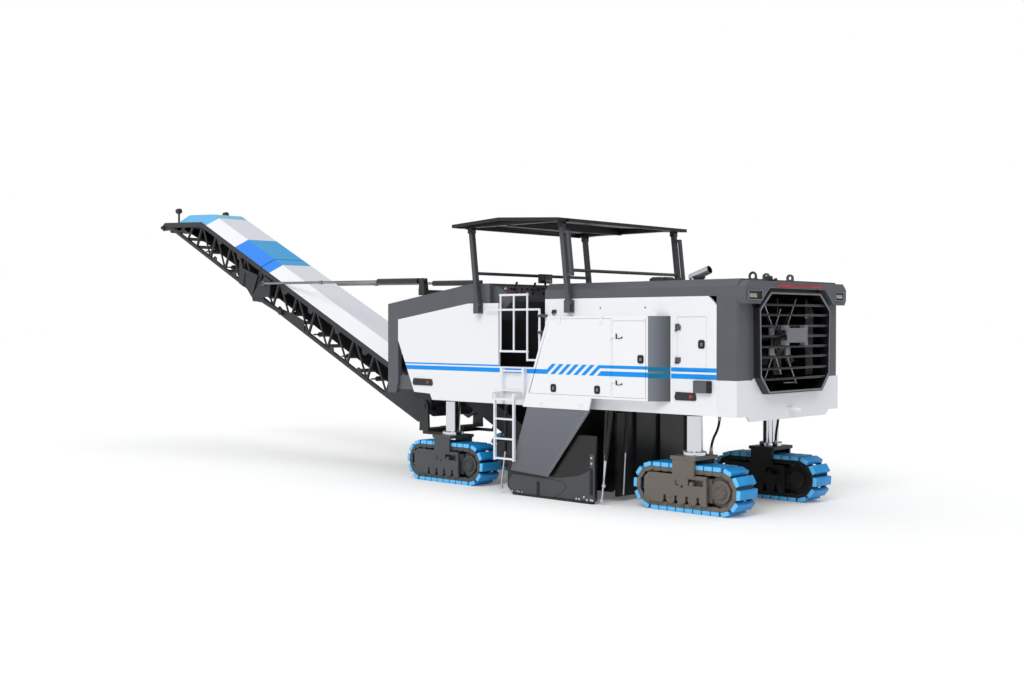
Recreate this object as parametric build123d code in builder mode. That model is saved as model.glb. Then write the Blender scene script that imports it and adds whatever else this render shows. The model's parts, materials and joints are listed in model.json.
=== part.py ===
"""Cold planer milling machine on four crawler tracks, with a folding discharge conveyor.

Millimetres. +X points forward, towards the conveyor, +Y to the left and +Z up.
The origin is on the ground, at the middle of the machine's length and width.
"""

from math import atan2, cos, degrees, hypot, pi, radians, sin, tan
import os

from build123d import *

os.makedirs("parts", exist_ok=True)

# ---------------------------------------------------------------- driving dimensions
pin_clearance = 0.3

# Running gear
wheelbase = 4640.0
rear_column_x = -6450.0
front_column_x = rear_column_x + wheelbase
track_inset = 328.0
shoe_width = 420.0
track_length = 1718.0
track_height = 639.0
shoe_count = 26
shoe_thickness = 58.0
chain_width = 300.0
chain_depth = 62.0
roller_radius = 62.0
roller_half = 140.0
roller_count = 4
roller_pitch = 178.0
roller_mid_x = 33.0
column_radius = 115.0
column_clearance = 0.4
column_top_z = 1950.0
yoke_top_z = 752.0
yoke_plate = 46.0
leg_thickness = 36.0
leg_clearance = 6.0
leg_half = 175.0
foot_flange_radius = 168.0
foot_flange_height = 45.0

# Body
body_width = 2550.0
body_half = body_width / 2
track_centre_y = body_half - track_inset
skin = 40.0
floor_z = 1310.0
floor_plate = 40.0
belt_line_z = 1775.0
panel_top_z = 2860.0
hood_top_z = 3080.0
body_rear_x = rear_column_x - 886
cowl_edge_x = rear_column_x - 577
brow_rear_x = rear_column_x - 1010
bay_rear_x = rear_column_x + 2380
bay_front_x = rear_column_x + 3320
deck_z = 1870.0

bumper_lip_half = 950.0
bumper_lip_drop = 70.0
tail_corner_radius = 70.0

# Nose, between the body and the conveyor
nose_x = front_column_x + 1192
post_length = 246.0
nose_top_z = 2831.0
cowl_top_z = 3114.0
cowl_peak_x = rear_column_x + 3925
tunnel_half = 520.0

# Cooling opening in the tail
# Inside corners of the octagon, from the middle out: (y, z)
grille_corners = [(622.0, 2885.0), (862.0, 2670.0), (862.0, 1850.0), (680.0, 1625.0)]
bezel_width = 85.0
fan_radius = 520.0
fan_mid_z = 2330.0

# Drive case on the left side
case_depth = 185.0
case_face_y = body_half + case_depth
case_low_z = 1475.0
case_high_z = 2606.0
case_rear_x = rear_column_x + 384
case_slant_x = rear_column_x + 140
case_split_x = rear_column_x + 989
case_front_low_x = rear_column_x + 2590
case_front_high_x = rear_column_x + 2165

# Milling drum and its housing
drum_x = rear_column_x + 2230
drum_radius = 500.0
drum_tube_radius = 395.0
drum_low_z = 60.0
drum_mid_z = drum_low_z + drum_radius
drum_right_y = -1070.0
drum_left_y = 930.0
housing_wall = 30.0
housing_rear_x = rear_column_x + 1330
housing_front_x = rear_column_x + 3020
shield_face_y = case_face_y
edge_plate_thickness = 30.0

# Discharge conveyor
slew_x = front_column_x + 1020
luff_z = 1140.0
seat_low_z = 720.0
mast_pin_z = 3220.0
stay_y = 650.0
stay_eye_s = 4990.0
stay_eye_h = 10.0
conveyor_slope = 25.3
chord_top = 240.0
chord_low = -340.0
chord_size = 60.0
conveyor_half = 600.0
fold_s = 5250.0
fold_h = -425.0
fold_gap = 20.0
kink_s = 7535.0
tip_slope = 2.5
tip_length = 1400.0
tip_cover = 860.0
tip_low_s = 8530.0
cover_start_s = 1150.0
cover_rise = 170.0
cover_top_half = 340.0

# Canopy on its parallelogram of posts
post_stand = 55.0
canopy_y = body_half + post_stand
post_base_z = 2800.0
post_top_z = 3915.0
post_lean = 130.0
front_post_x = rear_column_x + 3700
rear_post_x = rear_column_x + 1880
canopy_overhang = 210.0
canopy_half_width = canopy_y + canopy_overhang
post_half = 35.0
canopy_pin = 16.0
canopy_rear_x = rear_column_x + 1906
canopy_front_x = rear_column_x + 4050

# Ladders and gates
ladder_rear_x = rear_column_x + 2760
ladder_front_x = rear_column_x + 3200
ladder_low_z = 500.0
rung_pitch = 290.0

# Lifting eyes and tow eye
eye_bore = 26.0
eye_outer = 52.0
eye_thickness = 30.0
eye_height = 45.0
eye_sink = 20.0
rear_eye_x = rear_column_x - 700
rear_eye_y = 300.0
front_eye_x = rear_column_x + 4950
front_eye_y = 500.0
tow_bore = 30.0
tow_reach = 110.0

# Hoses down to the tracks
hose_radius = 17.0


# ---------------------------------------------------------------- shared operations
def plate(outline, y_low, y_high, mode=Mode.ADD):
    """Extrude an outline of (x, z) points from y_low to y_high."""
    with BuildSketch(Plane.XZ.offset(-y_low)) as profile:
        with BuildLine():
            Polyline(*outline, close=True)
        make_face()
    extrude(profile.sketch, amount=y_low - y_high, mode=mode)


def slab(outline, z_low, z_high, mode=Mode.ADD):
    """Extrude an outline of (x, y) points from z_low to z_high."""
    with BuildSketch(Plane.XY.offset(z_low)) as profile:
        with BuildLine():
            Polyline(*outline, close=True)
        make_face()
    extrude(profile.sketch, amount=z_high - z_low, mode=mode)


def wall(outline, x_low, x_high, mode=Mode.ADD):
    """Extrude an outline of (y, z) points from x_low to x_high."""
    with BuildSketch(Plane.YZ.offset(x_low)) as profile:
        with BuildLine():
            Polyline(*outline, close=True)
        make_face()
    extrude(profile.sketch, amount=x_high - x_low, mode=mode)


def block(low, high, mode=Mode.ADD):
    """Box between its lowest and its highest corner."""
    size = [b - a for a, b in zip(low, high)]
    middle = [(a + b) / 2 for a, b in zip(low, high)]
    with Locations(tuple(middle)):
        Box(*size, mode=mode)


def shaft(plane, at, radius, low, high, mode=Mode.ADD):
    """Cylinder on a base plane, at a point of it, between two heights over it."""
    with BuildSketch(plane.offset(low)) as profile:
        with Locations(at):
            Circle(radius)
    extrude(profile.sketch, amount=high - low, mode=mode)


def along_y(x, z, radius, y_low, y_high, mode=Mode.ADD):
    """Cylinder along Y."""
    shaft(Plane.XZ, (x, z), radius, -y_high, -y_low, mode)


def along_z(x, y, radius, z_low, z_high, mode=Mode.ADD):
    """Cylinder along Z."""
    shaft(Plane.XY, (x, y), radius, z_low, z_high, mode)


def along_x(y, z, radius, x_low, x_high, mode=Mode.ADD):
    """Cylinder along X."""
    shaft(Plane.YZ, (y, z), radius, x_low, x_high, mode)


def on_conveyor(s, h):
    """World (x, z) of a point s along and h above the conveyor's pivot line."""
    slope = radians(conveyor_slope)
    return (
        slew_x + s * cos(slope) - h * sin(slope),
        luff_z + s * sin(slope) + h * cos(slope),
    )


def conveyor_plate(outline, y_low, y_high, mode=Mode.ADD):
    """Plate whose outline is given along and above the conveyor's pivot line."""
    plate([on_conveyor(s, h) for s, h in outline], y_low, y_high, mode)


def on_tip(t, g):
    """World (x, z) of a point t along and g above the upper chord, past its kink."""
    slope = radians(tip_slope)
    x, z = on_conveyor(kink_s, chord_top)
    return x + t * cos(slope) - g * sin(slope), z + t * sin(slope) + g * cos(slope)


def strut(start, end, width, y_low, y_high, mode=Mode.ADD):
    """Flat bar between two (x, z) points, as deep as width."""
    (x0, z0), (x1, z1) = start, end
    reach = hypot(x1 - x0, z1 - z0)
    across_x = -(z1 - z0) / reach * width / 2
    across_z = (x1 - x0) / reach * width / 2
    outline = [
        (x0 - across_x, z0 - across_z),
        (x1 - across_x, z1 - across_z),
        (x1 + across_x, z1 + across_z),
        (x0 + across_x, z0 + across_z),
    ]
    plate(outline, y_low, y_high, mode)


def lifting_eye(x, y, foot_z):
    """Upright eye plate on a top face, with its bore along Y."""
    y_low, y_high = y - eye_thickness / 2, y + eye_thickness / 2
    centre_z = foot_z + eye_height
    block((x - eye_outer, y_low, foot_z - eye_sink), (x + eye_outer, y_high, centre_z))
    along_y(x, centre_z, eye_outer, y_low, y_high)
    along_y(x, centre_z, eye_bore, y_low - 1, y_high + 1, mode=Mode.SUBTRACT)


def save(piece, name):
    """Label a finished piece and write it."""
    piece.part.label = name
    export_step(piece.part, f"parts/{name}.step")


# ---------------------------------------------------------------- running gear
end_radius = track_height / 2
end_offset = track_length / 2 - end_radius
pitch_radius = end_radius - shoe_thickness - chain_depth / 2
frame_reach = end_radius - shoe_thickness - chain_depth - 12
side_low_z = 118.0
notch_half = 20.0
notch_flare = 48.0
notch_top_z = 225.0
pocket_rear_x = -315.0
pocket_front_x = -75.0
pocket_low_z = 372.0
pocket_high_z = 457.0
boss_x = -131.0
boss_radius = 36.0


def track_loop():
    """One closed loop of shoes on its chain, about (0, 0), resting on the ground."""
    chain_out = pitch_radius + chain_depth / 2
    chain_in = pitch_radius - chain_depth / 2
    with BuildPart() as loop:
        with BuildSketch(Plane.XZ.offset(-chain_width / 2)):
            with Locations((0, end_radius)):
                SlotCenterToCenter(2 * end_offset, 2 * chain_out)
                SlotCenterToCenter(2 * end_offset, 2 * chain_in, mode=Mode.SUBTRACT)
        extrude(amount=chain_width)
        straight = 2 * end_offset
        lap = 2 * straight + 2 * pi * pitch_radius
        pitch = lap / shoe_count
        shoe_length = pitch * 0.93
        for index in range(shoe_count):
            gone = (index + 0.5) * pitch
            if gone < straight:
                x, z, turn = gone - end_offset, -pitch_radius, 180.0
            elif gone < straight + pi * pitch_radius:
                angle = (gone - straight) / pitch_radius - pi / 2
                x, z = end_offset + pitch_radius * cos(angle), pitch_radius * sin(angle)
                turn = 90 - degrees(angle)
            elif gone < 2 * straight + pi * pitch_radius:
                x, z, turn = end_offset - (gone - straight - pi * pitch_radius), pitch_radius, 0.0
            else:
                angle = (gone - 2 * straight - pi * pitch_radius) / pitch_radius + pi / 2
                x, z = -end_offset + pitch_radius * cos(angle), pitch_radius * sin(angle)
                turn = 90 - degrees(angle)
            base = chain_depth / 2 - 8
            with Locations(Location((x, 0, z + end_radius), (0, turn, 0))):
                with Locations((0, 0, base + (shoe_thickness + 8) / 2)):
                    Box(shoe_length, shoe_width, shoe_thickness + 8)
        ground_cut = track_length
        block((-ground_cut, -shoe_width, -ground_cut), (ground_cut, shoe_width, 0), mode=Mode.SUBTRACT)
    return loop.part


def track_frame():
    """Side frame inside the loop, its yoke legs and the plate that carries the column."""
    leg_in = shoe_width / 2 + leg_clearance
    leg_out = leg_in + leg_thickness
    low = end_radius - frame_reach
    high = end_radius + frame_reach
    rear = -end_offset + 130
    front = end_offset + 100
    with BuildPart() as frame:
        block((rear, -chain_width / 2 - 20, low + 30), (front - 40, chain_width / 2 + 20, high - 30))
        side = [
            (rear + 40, side_low_z),
            (front - 60, side_low_z),
            (front, side_low_z + 60),
            (front, high - 70),
            (front - 70, high),
            (leg_half, high),
            (leg_half, yoke_top_z - yoke_plate),
            (-leg_half, yoke_top_z - yoke_plate),
            (-leg_half, high - 30),
            (-leg_half - 25, high),
            (rear + 40, high),
        ]
        plate(side, leg_in, leg_out)
        plate(side, -leg_out, -leg_in)
        block(
            (-leg_half - 30, -leg_out - 6, yoke_top_z - yoke_plate),
            (leg_half + 30, leg_out + 6, yoke_top_z),
        )
        for x in (rear + 190, 0, front - 200):
            along_y(x, end_radius, 60, -leg_in - 4, leg_in + 4)
        along_y(-end_offset, end_radius, 118, -leg_in + 60, leg_in - 30)
        # Sprocket behind, idler in front and rollers below, which the chain runs on
        wheel = pitch_radius - chain_depth / 2 - pin_clearance
        along_y(-end_offset, end_radius, wheel, -roller_half, roller_half)
        along_y(end_offset, end_radius, wheel, -roller_half, roller_half)
        for index in range(roller_count):
            x = roller_mid_x + (index - (roller_count - 1) / 2) * roller_pitch
            along_y(x, end_radius - wheel + roller_radius, roller_radius, -roller_half, roller_half)
            # Slot and flared mouth over each roller's axle
            notch = [
                (x - notch_half, notch_top_z),
                (x + notch_half, notch_top_z),
                (x + notch_half, side_low_z + notch_flare),
                (x + notch_flare, side_low_z - 1),
                (x - notch_flare, side_low_z - 1),
                (x - notch_half, side_low_z + notch_flare),
            ]
            for y_low, y_high in ((leg_in - 1, leg_out + 1), (-leg_out - 1, -leg_in + 1)):
                plate(notch, y_low, y_high, mode=Mode.SUBTRACT)
        # Chain tensioner's pocket, with the grease fitting's boss in it
        for y_low, y_high in ((leg_in - 1, leg_out + 1), (-leg_out - 1, -leg_in + 1)):
            pocket_low = (pocket_rear_x, y_low, pocket_low_z)
            block(pocket_low, (pocket_front_x, y_high, pocket_high_z), mode=Mode.SUBTRACT)
            along_y(boss_x, pocket_low_z + boss_radius / 2, boss_radius, y_low + 1, y_high - 1)
        beam_half = chain_width / 2 + 20
        block((-end_offset, -beam_half, end_radius - 60), (rear + 60, beam_half, end_radius + 60))
    return frame.part


def column():
    """Steering and lifting column with its foot flange."""
    with BuildPart() as tube:
        along_z(0, 0, foot_flange_radius, yoke_top_z, yoke_top_z + foot_flange_height)
        along_z(0, 0, column_radius, yoke_top_z + foot_flange_height, column_top_z)
    return tube.part


hose_fitting = 27.0
hose_top = (258.0, 215.0)
hose_foot = (172.0, 146.0)
hose_top_z = floor_z - 45
hose_foot_z = yoke_top_z + 46


def hose_side(x, y):
    """Which way from the column a corner's hose stands: outwards along X, inwards along Y."""
    return (1 if x > (front_column_x + rear_column_x) / 2 else -1), (-1 if y > 0 else 1)


# corner, x, y
corners = [
    ("front_left", front_column_x, track_centre_y),
    ("front_right", front_column_x, -track_centre_y),
    ("rear_left", rear_column_x, track_centre_y),
    ("rear_right", rear_column_x, -track_centre_y),
]
loop_shape = track_loop()
frame_shape = track_frame()
column_shape = column()
for corner, x, y in corners:
    for piece_name, shape in (("track", loop_shape), ("track_frame", frame_shape), ("column", column_shape)):
        with BuildPart() as piece:
            add(shape.moved(Location((x, y, 0))))
            if piece_name == "track_frame":
                out_x, out_y = hose_side(x, y)
                fitting_x, fitting_y = x + out_x * hose_foot[0], y + out_y * hose_foot[1]
                along_z(fitting_x, fitting_y, hose_fitting, yoke_top_z - 1, hose_foot_z)
        save(piece, f"{piece_name}_{corner}")

octagon = [(-y, z) for y, z in grille_corners] + [(y, z) for y, z in reversed(grille_corners)]


def octagon_ring(grow):
    """Octagon of the cooling opening, grown outwards by grow."""
    corners_out = []
    mid_z = (grille_corners[0][1] + grille_corners[-1][1]) / 2
    for y, z in octagon:
        corners_out.append((y + grow * (1 if y > 0 else -1), z + grow * (1 if z > mid_z else -1)))
    return corners_out


# ---------------------------------------------------------------- main frame
sleeve_radius = column_radius + column_clearance + 34
inner_half = body_half - skin
frame_front_x = slew_x - 420


def tail_corners(part):
    """Upright edges where the body's sides meet its rear face."""
    upright = part.edges().filter_by(Axis.Z)
    rearmost = upright.filter_by_position(Axis.X, body_rear_x - 1, body_rear_x + 1)
    return [edge for edge in rearmost if abs(abs(edge.center().Y) - body_half) < 1 and edge.length > 300]


with BuildPart() as main_frame:
    block((body_rear_x, -body_half, floor_z), (cowl_edge_x, body_half, belt_line_z))
    block((cowl_edge_x, -inner_half, floor_z), (frame_front_x, inner_half, belt_line_z))
    block(
        (body_rear_x + skin, -inner_half + skin, floor_z + floor_plate),
        (frame_front_x - skin, inner_half - skin, belt_line_z + 1),
        mode=Mode.SUBTRACT,
    )
    block(
        (housing_front_x - 100, -tunnel_half, floor_z - 1),
        (frame_front_x + 1, tunnel_half, belt_line_z + 1),
        mode=Mode.SUBTRACT,
    )
    for side in (-1, 1):
        y_edge = side * tunnel_half
        block(
            (housing_front_x - 100, min(y_edge, y_edge + side * skin), floor_z),
            (frame_front_x, max(y_edge, y_edge + side * skin), belt_line_z),
        )
    block(
        (housing_rear_x, drum_right_y - 60, floor_z - 1),
        (housing_front_x, drum_left_y + 60, floor_z + floor_plate + 1),
        mode=Mode.SUBTRACT,
    )
    for corner, x, y in corners:
        along_z(x, y, sleeve_radius, floor_z - 30, belt_line_z)
    for corner, x, y in corners:
        along_z(x, y, column_radius + column_clearance, floor_z - 31, belt_line_z + 1, mode=Mode.SUBTRACT)
    # Arms under the tunnel that carry the conveyor's lower bearing
    arm = [
        (frame_front_x - 260, floor_z),
        (frame_front_x - 80, floor_z),
        (slew_x - 470, seat_low_z + 60),
        (slew_x - 430, seat_low_z),
        (slew_x + 120, seat_low_z),
        (slew_x + 120, seat_low_z - 50),
        (slew_x - 450, seat_low_z - 50),
        (slew_x - 540, seat_low_z + 60),
    ]
    for side in (-1, 1):
        y_low, y_high = sorted((side * tunnel_half, side * (tunnel_half + skin)))
        plate(arm, y_low, y_high)
    block(
        (slew_x - 120, -tunnel_half - skin, seat_low_z - 50),
        (slew_x + 120, tunnel_half + skin, seat_low_z),
    )
    along_z(slew_x, 0, 60, seat_low_z - 10, seat_low_z + 36)
    for corner, x, y in corners:
        out_x, out_y = hose_side(x, y)
        along_z(x + out_x * hose_top[0], y + out_y * hose_top[1], hose_fitting, hose_top_z, floor_z + 1)
    # Recess for the cooling opening's bezel
    wall(octagon_ring(bezel_width), body_rear_x - 1, body_rear_x + skin + 1, mode=Mode.SUBTRACT)
    # Lower lip of the bumper, with its corners cut back
    lip = [
        (-bumper_lip_half - bumper_lip_drop, floor_z + 1),
        (-bumper_lip_half, floor_z - bumper_lip_drop),
        (bumper_lip_half, floor_z - bumper_lip_drop),
        (bumper_lip_half + bumper_lip_drop, floor_z + 1),
    ]
    wall(lip, body_rear_x, body_rear_x + skin)
    # Tow eye
    tow_x = body_rear_x - tow_reach
    block((tow_x, -60, floor_z + 40), (body_rear_x + 1, 60, floor_z + 80))
    along_z(tow_x, 0, 60, floor_z + 40, floor_z + 80)
    along_z(tow_x, 0, tow_bore, floor_z + 39, floor_z + 81, mode=Mode.SUBTRACT)
save(main_frame, "main_frame")


# ---------------------------------------------------------------- side panels
door_gap = 4.0
door_thickness = 34.0
hinge_out = 15.0
knuckle_radius = 12.0
knuckle_half = 32.0
hinge_pin = 6.0

rear_door_front_x = rear_column_x + 38
rear_door_rear_x = rear_column_x - 415
rear_door_low_z = 1890.0
rear_door_high_z = 2590.0
rear_door_hinges = (2030.0, 2450.0)
case_door_front_x = case_split_x - 8
case_door_rear_x = case_rear_x + 40
case_door_hinges = (1740.0, 2345.0)
lid_hinges = (rear_column_x + 1190, rear_column_x + 1950)
gate_hinge_x = rear_column_x + 2440
gate_front_x = rear_column_x + 3540
gate_stand = 55.0
gate_y = body_half + gate_stand
gate_low_z = 1960.0
gate_rail_z = 2712.0
gate_tube = 17.0
gate_bar = 15.0
gate_collar_z = (2380.0, 2620.0)
collar_half = 20.0
collar_radius = 29.0


def hinge_pins(x, face_y, side, heights):
    """Fixed half of upright hinges: under each knuckle a lug, and the pin it carries."""
    pin_y = face_y + side * hinge_out
    for z in heights:
        y_low, y_high = sorted((face_y, pin_y + side * 10))
        block((x - 10, y_low, z - knuckle_half - 14), (x + 20, y_high, z - knuckle_half - 0.5))
        along_z(x, pin_y, hinge_pin, z - knuckle_half - 6, z + knuckle_half)


def hinge_knuckles(x, face_y, side, heights, toward):
    """Moving half of upright hinges: a knuckle and the leaf that joins it to its door."""
    pin_y = face_y + side * hinge_out
    for z in heights:
        along_z(x, pin_y, knuckle_radius, z - knuckle_half, z + knuckle_half)
        x_low, x_high = sorted((x, x + toward * 70))
        y_low, y_high = sorted((face_y, pin_y))
        block((x_low, y_low, z - knuckle_half), (x_high, y_high, z + knuckle_half))
        bore = hinge_pin + pin_clearance
        along_z(x, pin_y, bore, z - knuckle_half - 1, z + knuckle_half + 1, mode=Mode.SUBTRACT)


front_panel = [
    (bay_front_x, floor_z),
    (front_column_x + 140, floor_z),
    (front_column_x + 190, floor_z + 95),
    (front_column_x + 560, floor_z + 110),
    (nose_x - post_length, 2245),
    (nose_x - post_length, 2577),
    (front_column_x - 670, 2815),
    (bay_front_x, 2815),
]
rear_panel = [
    (cowl_edge_x, floor_z),
    (bay_front_x, floor_z),
    (bay_front_x, deck_z),
    (bay_rear_x, deck_z),
    (bay_rear_x, panel_top_z),
    (cowl_edge_x + 125, panel_top_z),
    (cowl_edge_x, panel_top_z - 120),
]
with BuildPart() as side_panels:
    for side in (-1, 1):
        y_low, y_high = sorted((side * inner_half, side * body_half))
        plate(front_panel, y_low, y_high)
        plate(rear_panel, y_low, y_high)
        block(
            (rear_door_rear_x - door_gap, y_low, rear_door_low_z - door_gap),
            (rear_door_front_x + door_gap, y_high, rear_door_high_z + door_gap),
            mode=Mode.SUBTRACT,
        )
        hinge_pins(rear_door_front_x + door_gap + 10, side * body_half, side, rear_door_hinges)
        # Collars that the gate's upright turns in
        for z in gate_collar_z:
            y_in, y_out = sorted((side * body_half, side * gate_y))
            block((bay_rear_x - 50, y_in, z - collar_half), (gate_hinge_x + 16, y_out, z + collar_half))
            along_z(gate_hinge_x, side * gate_y, collar_radius, z - collar_half, z + collar_half)
            along_z(
                gate_hinge_x,
                side * gate_y,
                gate_tube + pin_clearance,
                z - collar_half - 1,
                z + collar_half + 1,
                mode=Mode.SUBTRACT,
            )
        # Clevises that the canopy's posts turn in
        for x in (front_post_x, rear_post_x):
            inner_y = side * (canopy_y - post_half - 4)
            outer_y = side * (canopy_y + post_half + 4)
            far_y = side * (canopy_y + post_half + 16)
            y_a, y_b = sorted((side * body_half, inner_y))
            block((x - 60, y_a, post_base_z - 140), (x + 60, y_b, post_base_z + 40))
            y_a, y_b = sorted((outer_y, far_y))
            block((x - 50, y_a, post_base_z - 140), (x + 50, y_b, post_base_z + 40))
            y_a, y_b = sorted((side * body_half, far_y))
            block((x - 50, y_a, post_base_z - 140), (x + 50, y_b, post_base_z - 120))
            along_y(x, post_base_z, canopy_pin, y_a, y_b)
save(side_panels, "side_panels")

for side_name, side in (("left", 1), ("right", -1)):
    with BuildPart() as door:
        y_low, y_high = sorted((side * (body_half - door_thickness), side * body_half))
        block((rear_door_rear_x, y_low, rear_door_low_z), (rear_door_front_x, y_high, rear_door_high_z))
        hinge_knuckles(rear_door_front_x + door_gap + 10, side * body_half, side, rear_door_hinges, -1)
    save(door, f"rear_door_{side_name}")

    with BuildPart() as gate:
        y = side * gate_y
        bars = [gate_front_x - 320, gate_front_x - 590, gate_front_x - 860]
        along_z(gate_hinge_x, y, gate_tube, gate_low_z, gate_rail_z)
        for x in bars:
            along_z(x, y, gate_bar, 2098, 2930)
        for z in (2098, 2930):
            along_x(y, z, gate_tube, bars[-1] - gate_bar - 2, bars[0] + gate_bar + 2)
        along_x(y, gate_rail_z, gate_bar + 1, gate_hinge_x - 6, gate_front_x)
        along_x(y, gate_low_z + gate_tube, gate_bar + 1, gate_hinge_x - 6, bars[-1])
        along_z(bars[-1], y, gate_bar, gate_low_z, 2110)
        # Stop rings that rest on the collars
        for z in gate_collar_z:
            along_z(gate_hinge_x, y, collar_radius - 4, z + collar_half + pin_clearance, z + collar_half + 12)
    save(gate, f"gate_{side_name}")

# ---------------------------------------------------------------- drive case
case_wall = 30.0
lid_thickness = 26.0
lid_gap = 4.0
case_door_high_z = case_high_z - 66
slant_inset = 55.0
case_front = [
    (case_rear_x, case_low_z),
    (case_front_low_x, case_low_z),
    (case_front_high_x, case_high_z),
    (case_rear_x, case_high_z),
]
case_inner = [
    (case_rear_x, case_low_z + case_wall),
    (case_front_low_x - case_wall - 16, case_low_z + case_wall),
    (case_front_high_x - case_wall - 4, case_high_z - case_wall),
    (case_rear_x, case_high_z - case_wall),
]
with BuildPart() as side_box:
    plate(case_front, body_half, case_face_y)
    slab(
        [(case_rear_x, body_half), (case_rear_x, case_face_y), (case_slant_x, body_half)],
        case_low_z,
        case_high_z,
    )
    plate(case_inner, body_half - 1, case_face_y + 1, mode=Mode.SUBTRACT)
    slab(
        [
            (case_rear_x + 1, body_half - 1),
            (case_rear_x + 1, case_face_y - slant_inset),
            (case_slant_x + slant_inset, body_half - 1),
        ],
        case_low_z + case_wall,
        case_high_z - case_wall,
        mode=Mode.SUBTRACT,
    )
    block(
        (case_rear_x, case_face_y - slant_inset - 5, case_low_z),
        (case_rear_x + 30, case_face_y, case_high_z),
    )
    block(
        (case_split_x - 14, body_half, case_low_z),
        (case_split_x + 14, case_face_y - lid_thickness - 2, case_high_z),
    )
    # Header that the door closes under, clear of the lid when both are open
    block(
        (case_door_rear_x, case_face_y - lid_thickness, case_door_high_z + lid_gap),
        (case_split_x, case_face_y, case_high_z),
    )
    skirt = [
        (case_front_low_x + 60, floor_z - 5),
        (rear_column_x + 1407, floor_z - 5),
        (rear_column_x + 1362, case_low_z),
        (case_front_low_x, case_low_z),
    ]
    plate(skirt, case_face_y - 22, case_face_y)
    # Hinge post between the two
    block(
        (case_split_x - 6, case_face_y - lid_thickness - 3, case_low_z),
        (case_split_x + 20, case_face_y, case_high_z),
    )
    hinge_pins(case_split_x + 2, case_face_y, 1, case_door_hinges)
    for x in lid_hinges:
        lug_x = x - knuckle_half
        block((lug_x - 14, case_face_y - 10, case_high_z - 12), (lug_x - 0.5, case_face_y + 25, case_high_z + 4))
        along_x(case_face_y + hinge_out, case_high_z - 8, hinge_pin, x - knuckle_half - 6, x + knuckle_half)
save(side_box, "side_box")

lid_low_z = case_low_z + 6
lid_high_z = case_high_z - case_wall - 4
lean = (case_front_low_x - case_front_high_x) / (case_high_z - case_low_z)


def case_edge_x(z):
    """Where the slanted front edge of the case stands at height z."""
    return case_front_low_x - (z - case_low_z) * lean


with BuildPart() as side_lid:
    lid_outline = [
        (case_split_x + 24, case_low_z + case_wall + lid_gap),
        (case_edge_x(case_low_z + case_wall) - 60, case_low_z + case_wall + lid_gap),
        (case_edge_x(lid_high_z) - 48, lid_high_z),
        (case_split_x + 24, lid_high_z),
    ]
    plate(lid_outline, case_face_y - lid_thickness, case_face_y)
    for x in lid_hinges:
        along_x(case_face_y + hinge_out, case_high_z - 8, knuckle_radius, x - knuckle_half, x + knuckle_half)
        block(
            (x - knuckle_half, case_face_y, lid_high_z - 60),
            (x + knuckle_half, case_face_y + hinge_out, case_high_z - 8),
        )
        along_x(
            case_face_y + hinge_out,
            case_high_z - 8,
            hinge_pin + pin_clearance,
            x - knuckle_half - 1,
            x + knuckle_half + 1,
            mode=Mode.SUBTRACT,
        )
save(side_lid, "side_lid")

with BuildPart() as side_door:
    block(
        (case_door_rear_x, case_face_y - lid_thickness, case_low_z + case_wall + lid_gap),
        (case_split_x - 10, case_face_y, case_door_high_z),
    )
    hinge_knuckles(case_split_x + 2, case_face_y, 1, case_door_hinges, -1)
save(side_door, "side_door")

# ---------------------------------------------------------------- hood, rear cowl and nose
hood_side_z = 2985.0
hood_shoulder = 90.0
sheet = 40.0


def roof_section(low_z, inset=0.0):
    """Section of the hood in (y, z), from low_z up, drawn in by inset."""
    half = body_half - inset
    top = hood_top_z - inset
    return [
        (-half, low_z),
        (half, low_z),
        (half, hood_side_z - inset * 0.4),
        (half - hood_shoulder, top),
        (-half + hood_shoulder, top),
        (-half, hood_side_z - inset * 0.4),
    ]


with BuildPart() as engine_hood:
    wall(roof_section(panel_top_z), cowl_edge_x, bay_rear_x)
    wall(roof_section(panel_top_z - 1, sheet), cowl_edge_x - 1, bay_rear_x - sheet, mode=Mode.SUBTRACT)
save(engine_hood, "engine_hood")

brow_low_z = 2760.0
with BuildPart() as rear_cowl:
    wall(roof_section(belt_line_z), body_rear_x, cowl_edge_x)
    wall(roof_section(belt_line_z - 1, sheet), body_rear_x + sheet, cowl_edge_x + 1, mode=Mode.SUBTRACT)
    brow = [
        (-body_half + 40, brow_low_z),
        (body_half - 40, brow_low_z),
        (body_half, brow_low_z + 70),
        (body_half, hood_side_z - 10),
        (body_half - hood_shoulder, hood_top_z - 25),
        (-body_half + hood_shoulder, hood_top_z - 25),
        (-body_half, hood_side_z - 10),
        (-body_half, brow_low_z + 70),
    ]
    wall(brow, brow_rear_x, body_rear_x)
    wall(octagon_ring(bezel_width), brow_rear_x - 1, body_rear_x + sheet + 1, mode=Mode.SUBTRACT)
    fillet(tail_corners(rear_cowl), tail_corner_radius)
    for side in (-1, 1):
        lifting_eye(rear_eye_x, side * rear_eye_y, hood_top_z)
save(rear_cowl, "rear_cowl")


nose_side = 80.0


def nose_z(x):
    """Height of the sloping nose top at x."""
    return nose_top_z + (nose_x - x) * (cowl_top_z - nose_top_z) / (nose_x - cowl_peak_x)


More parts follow.
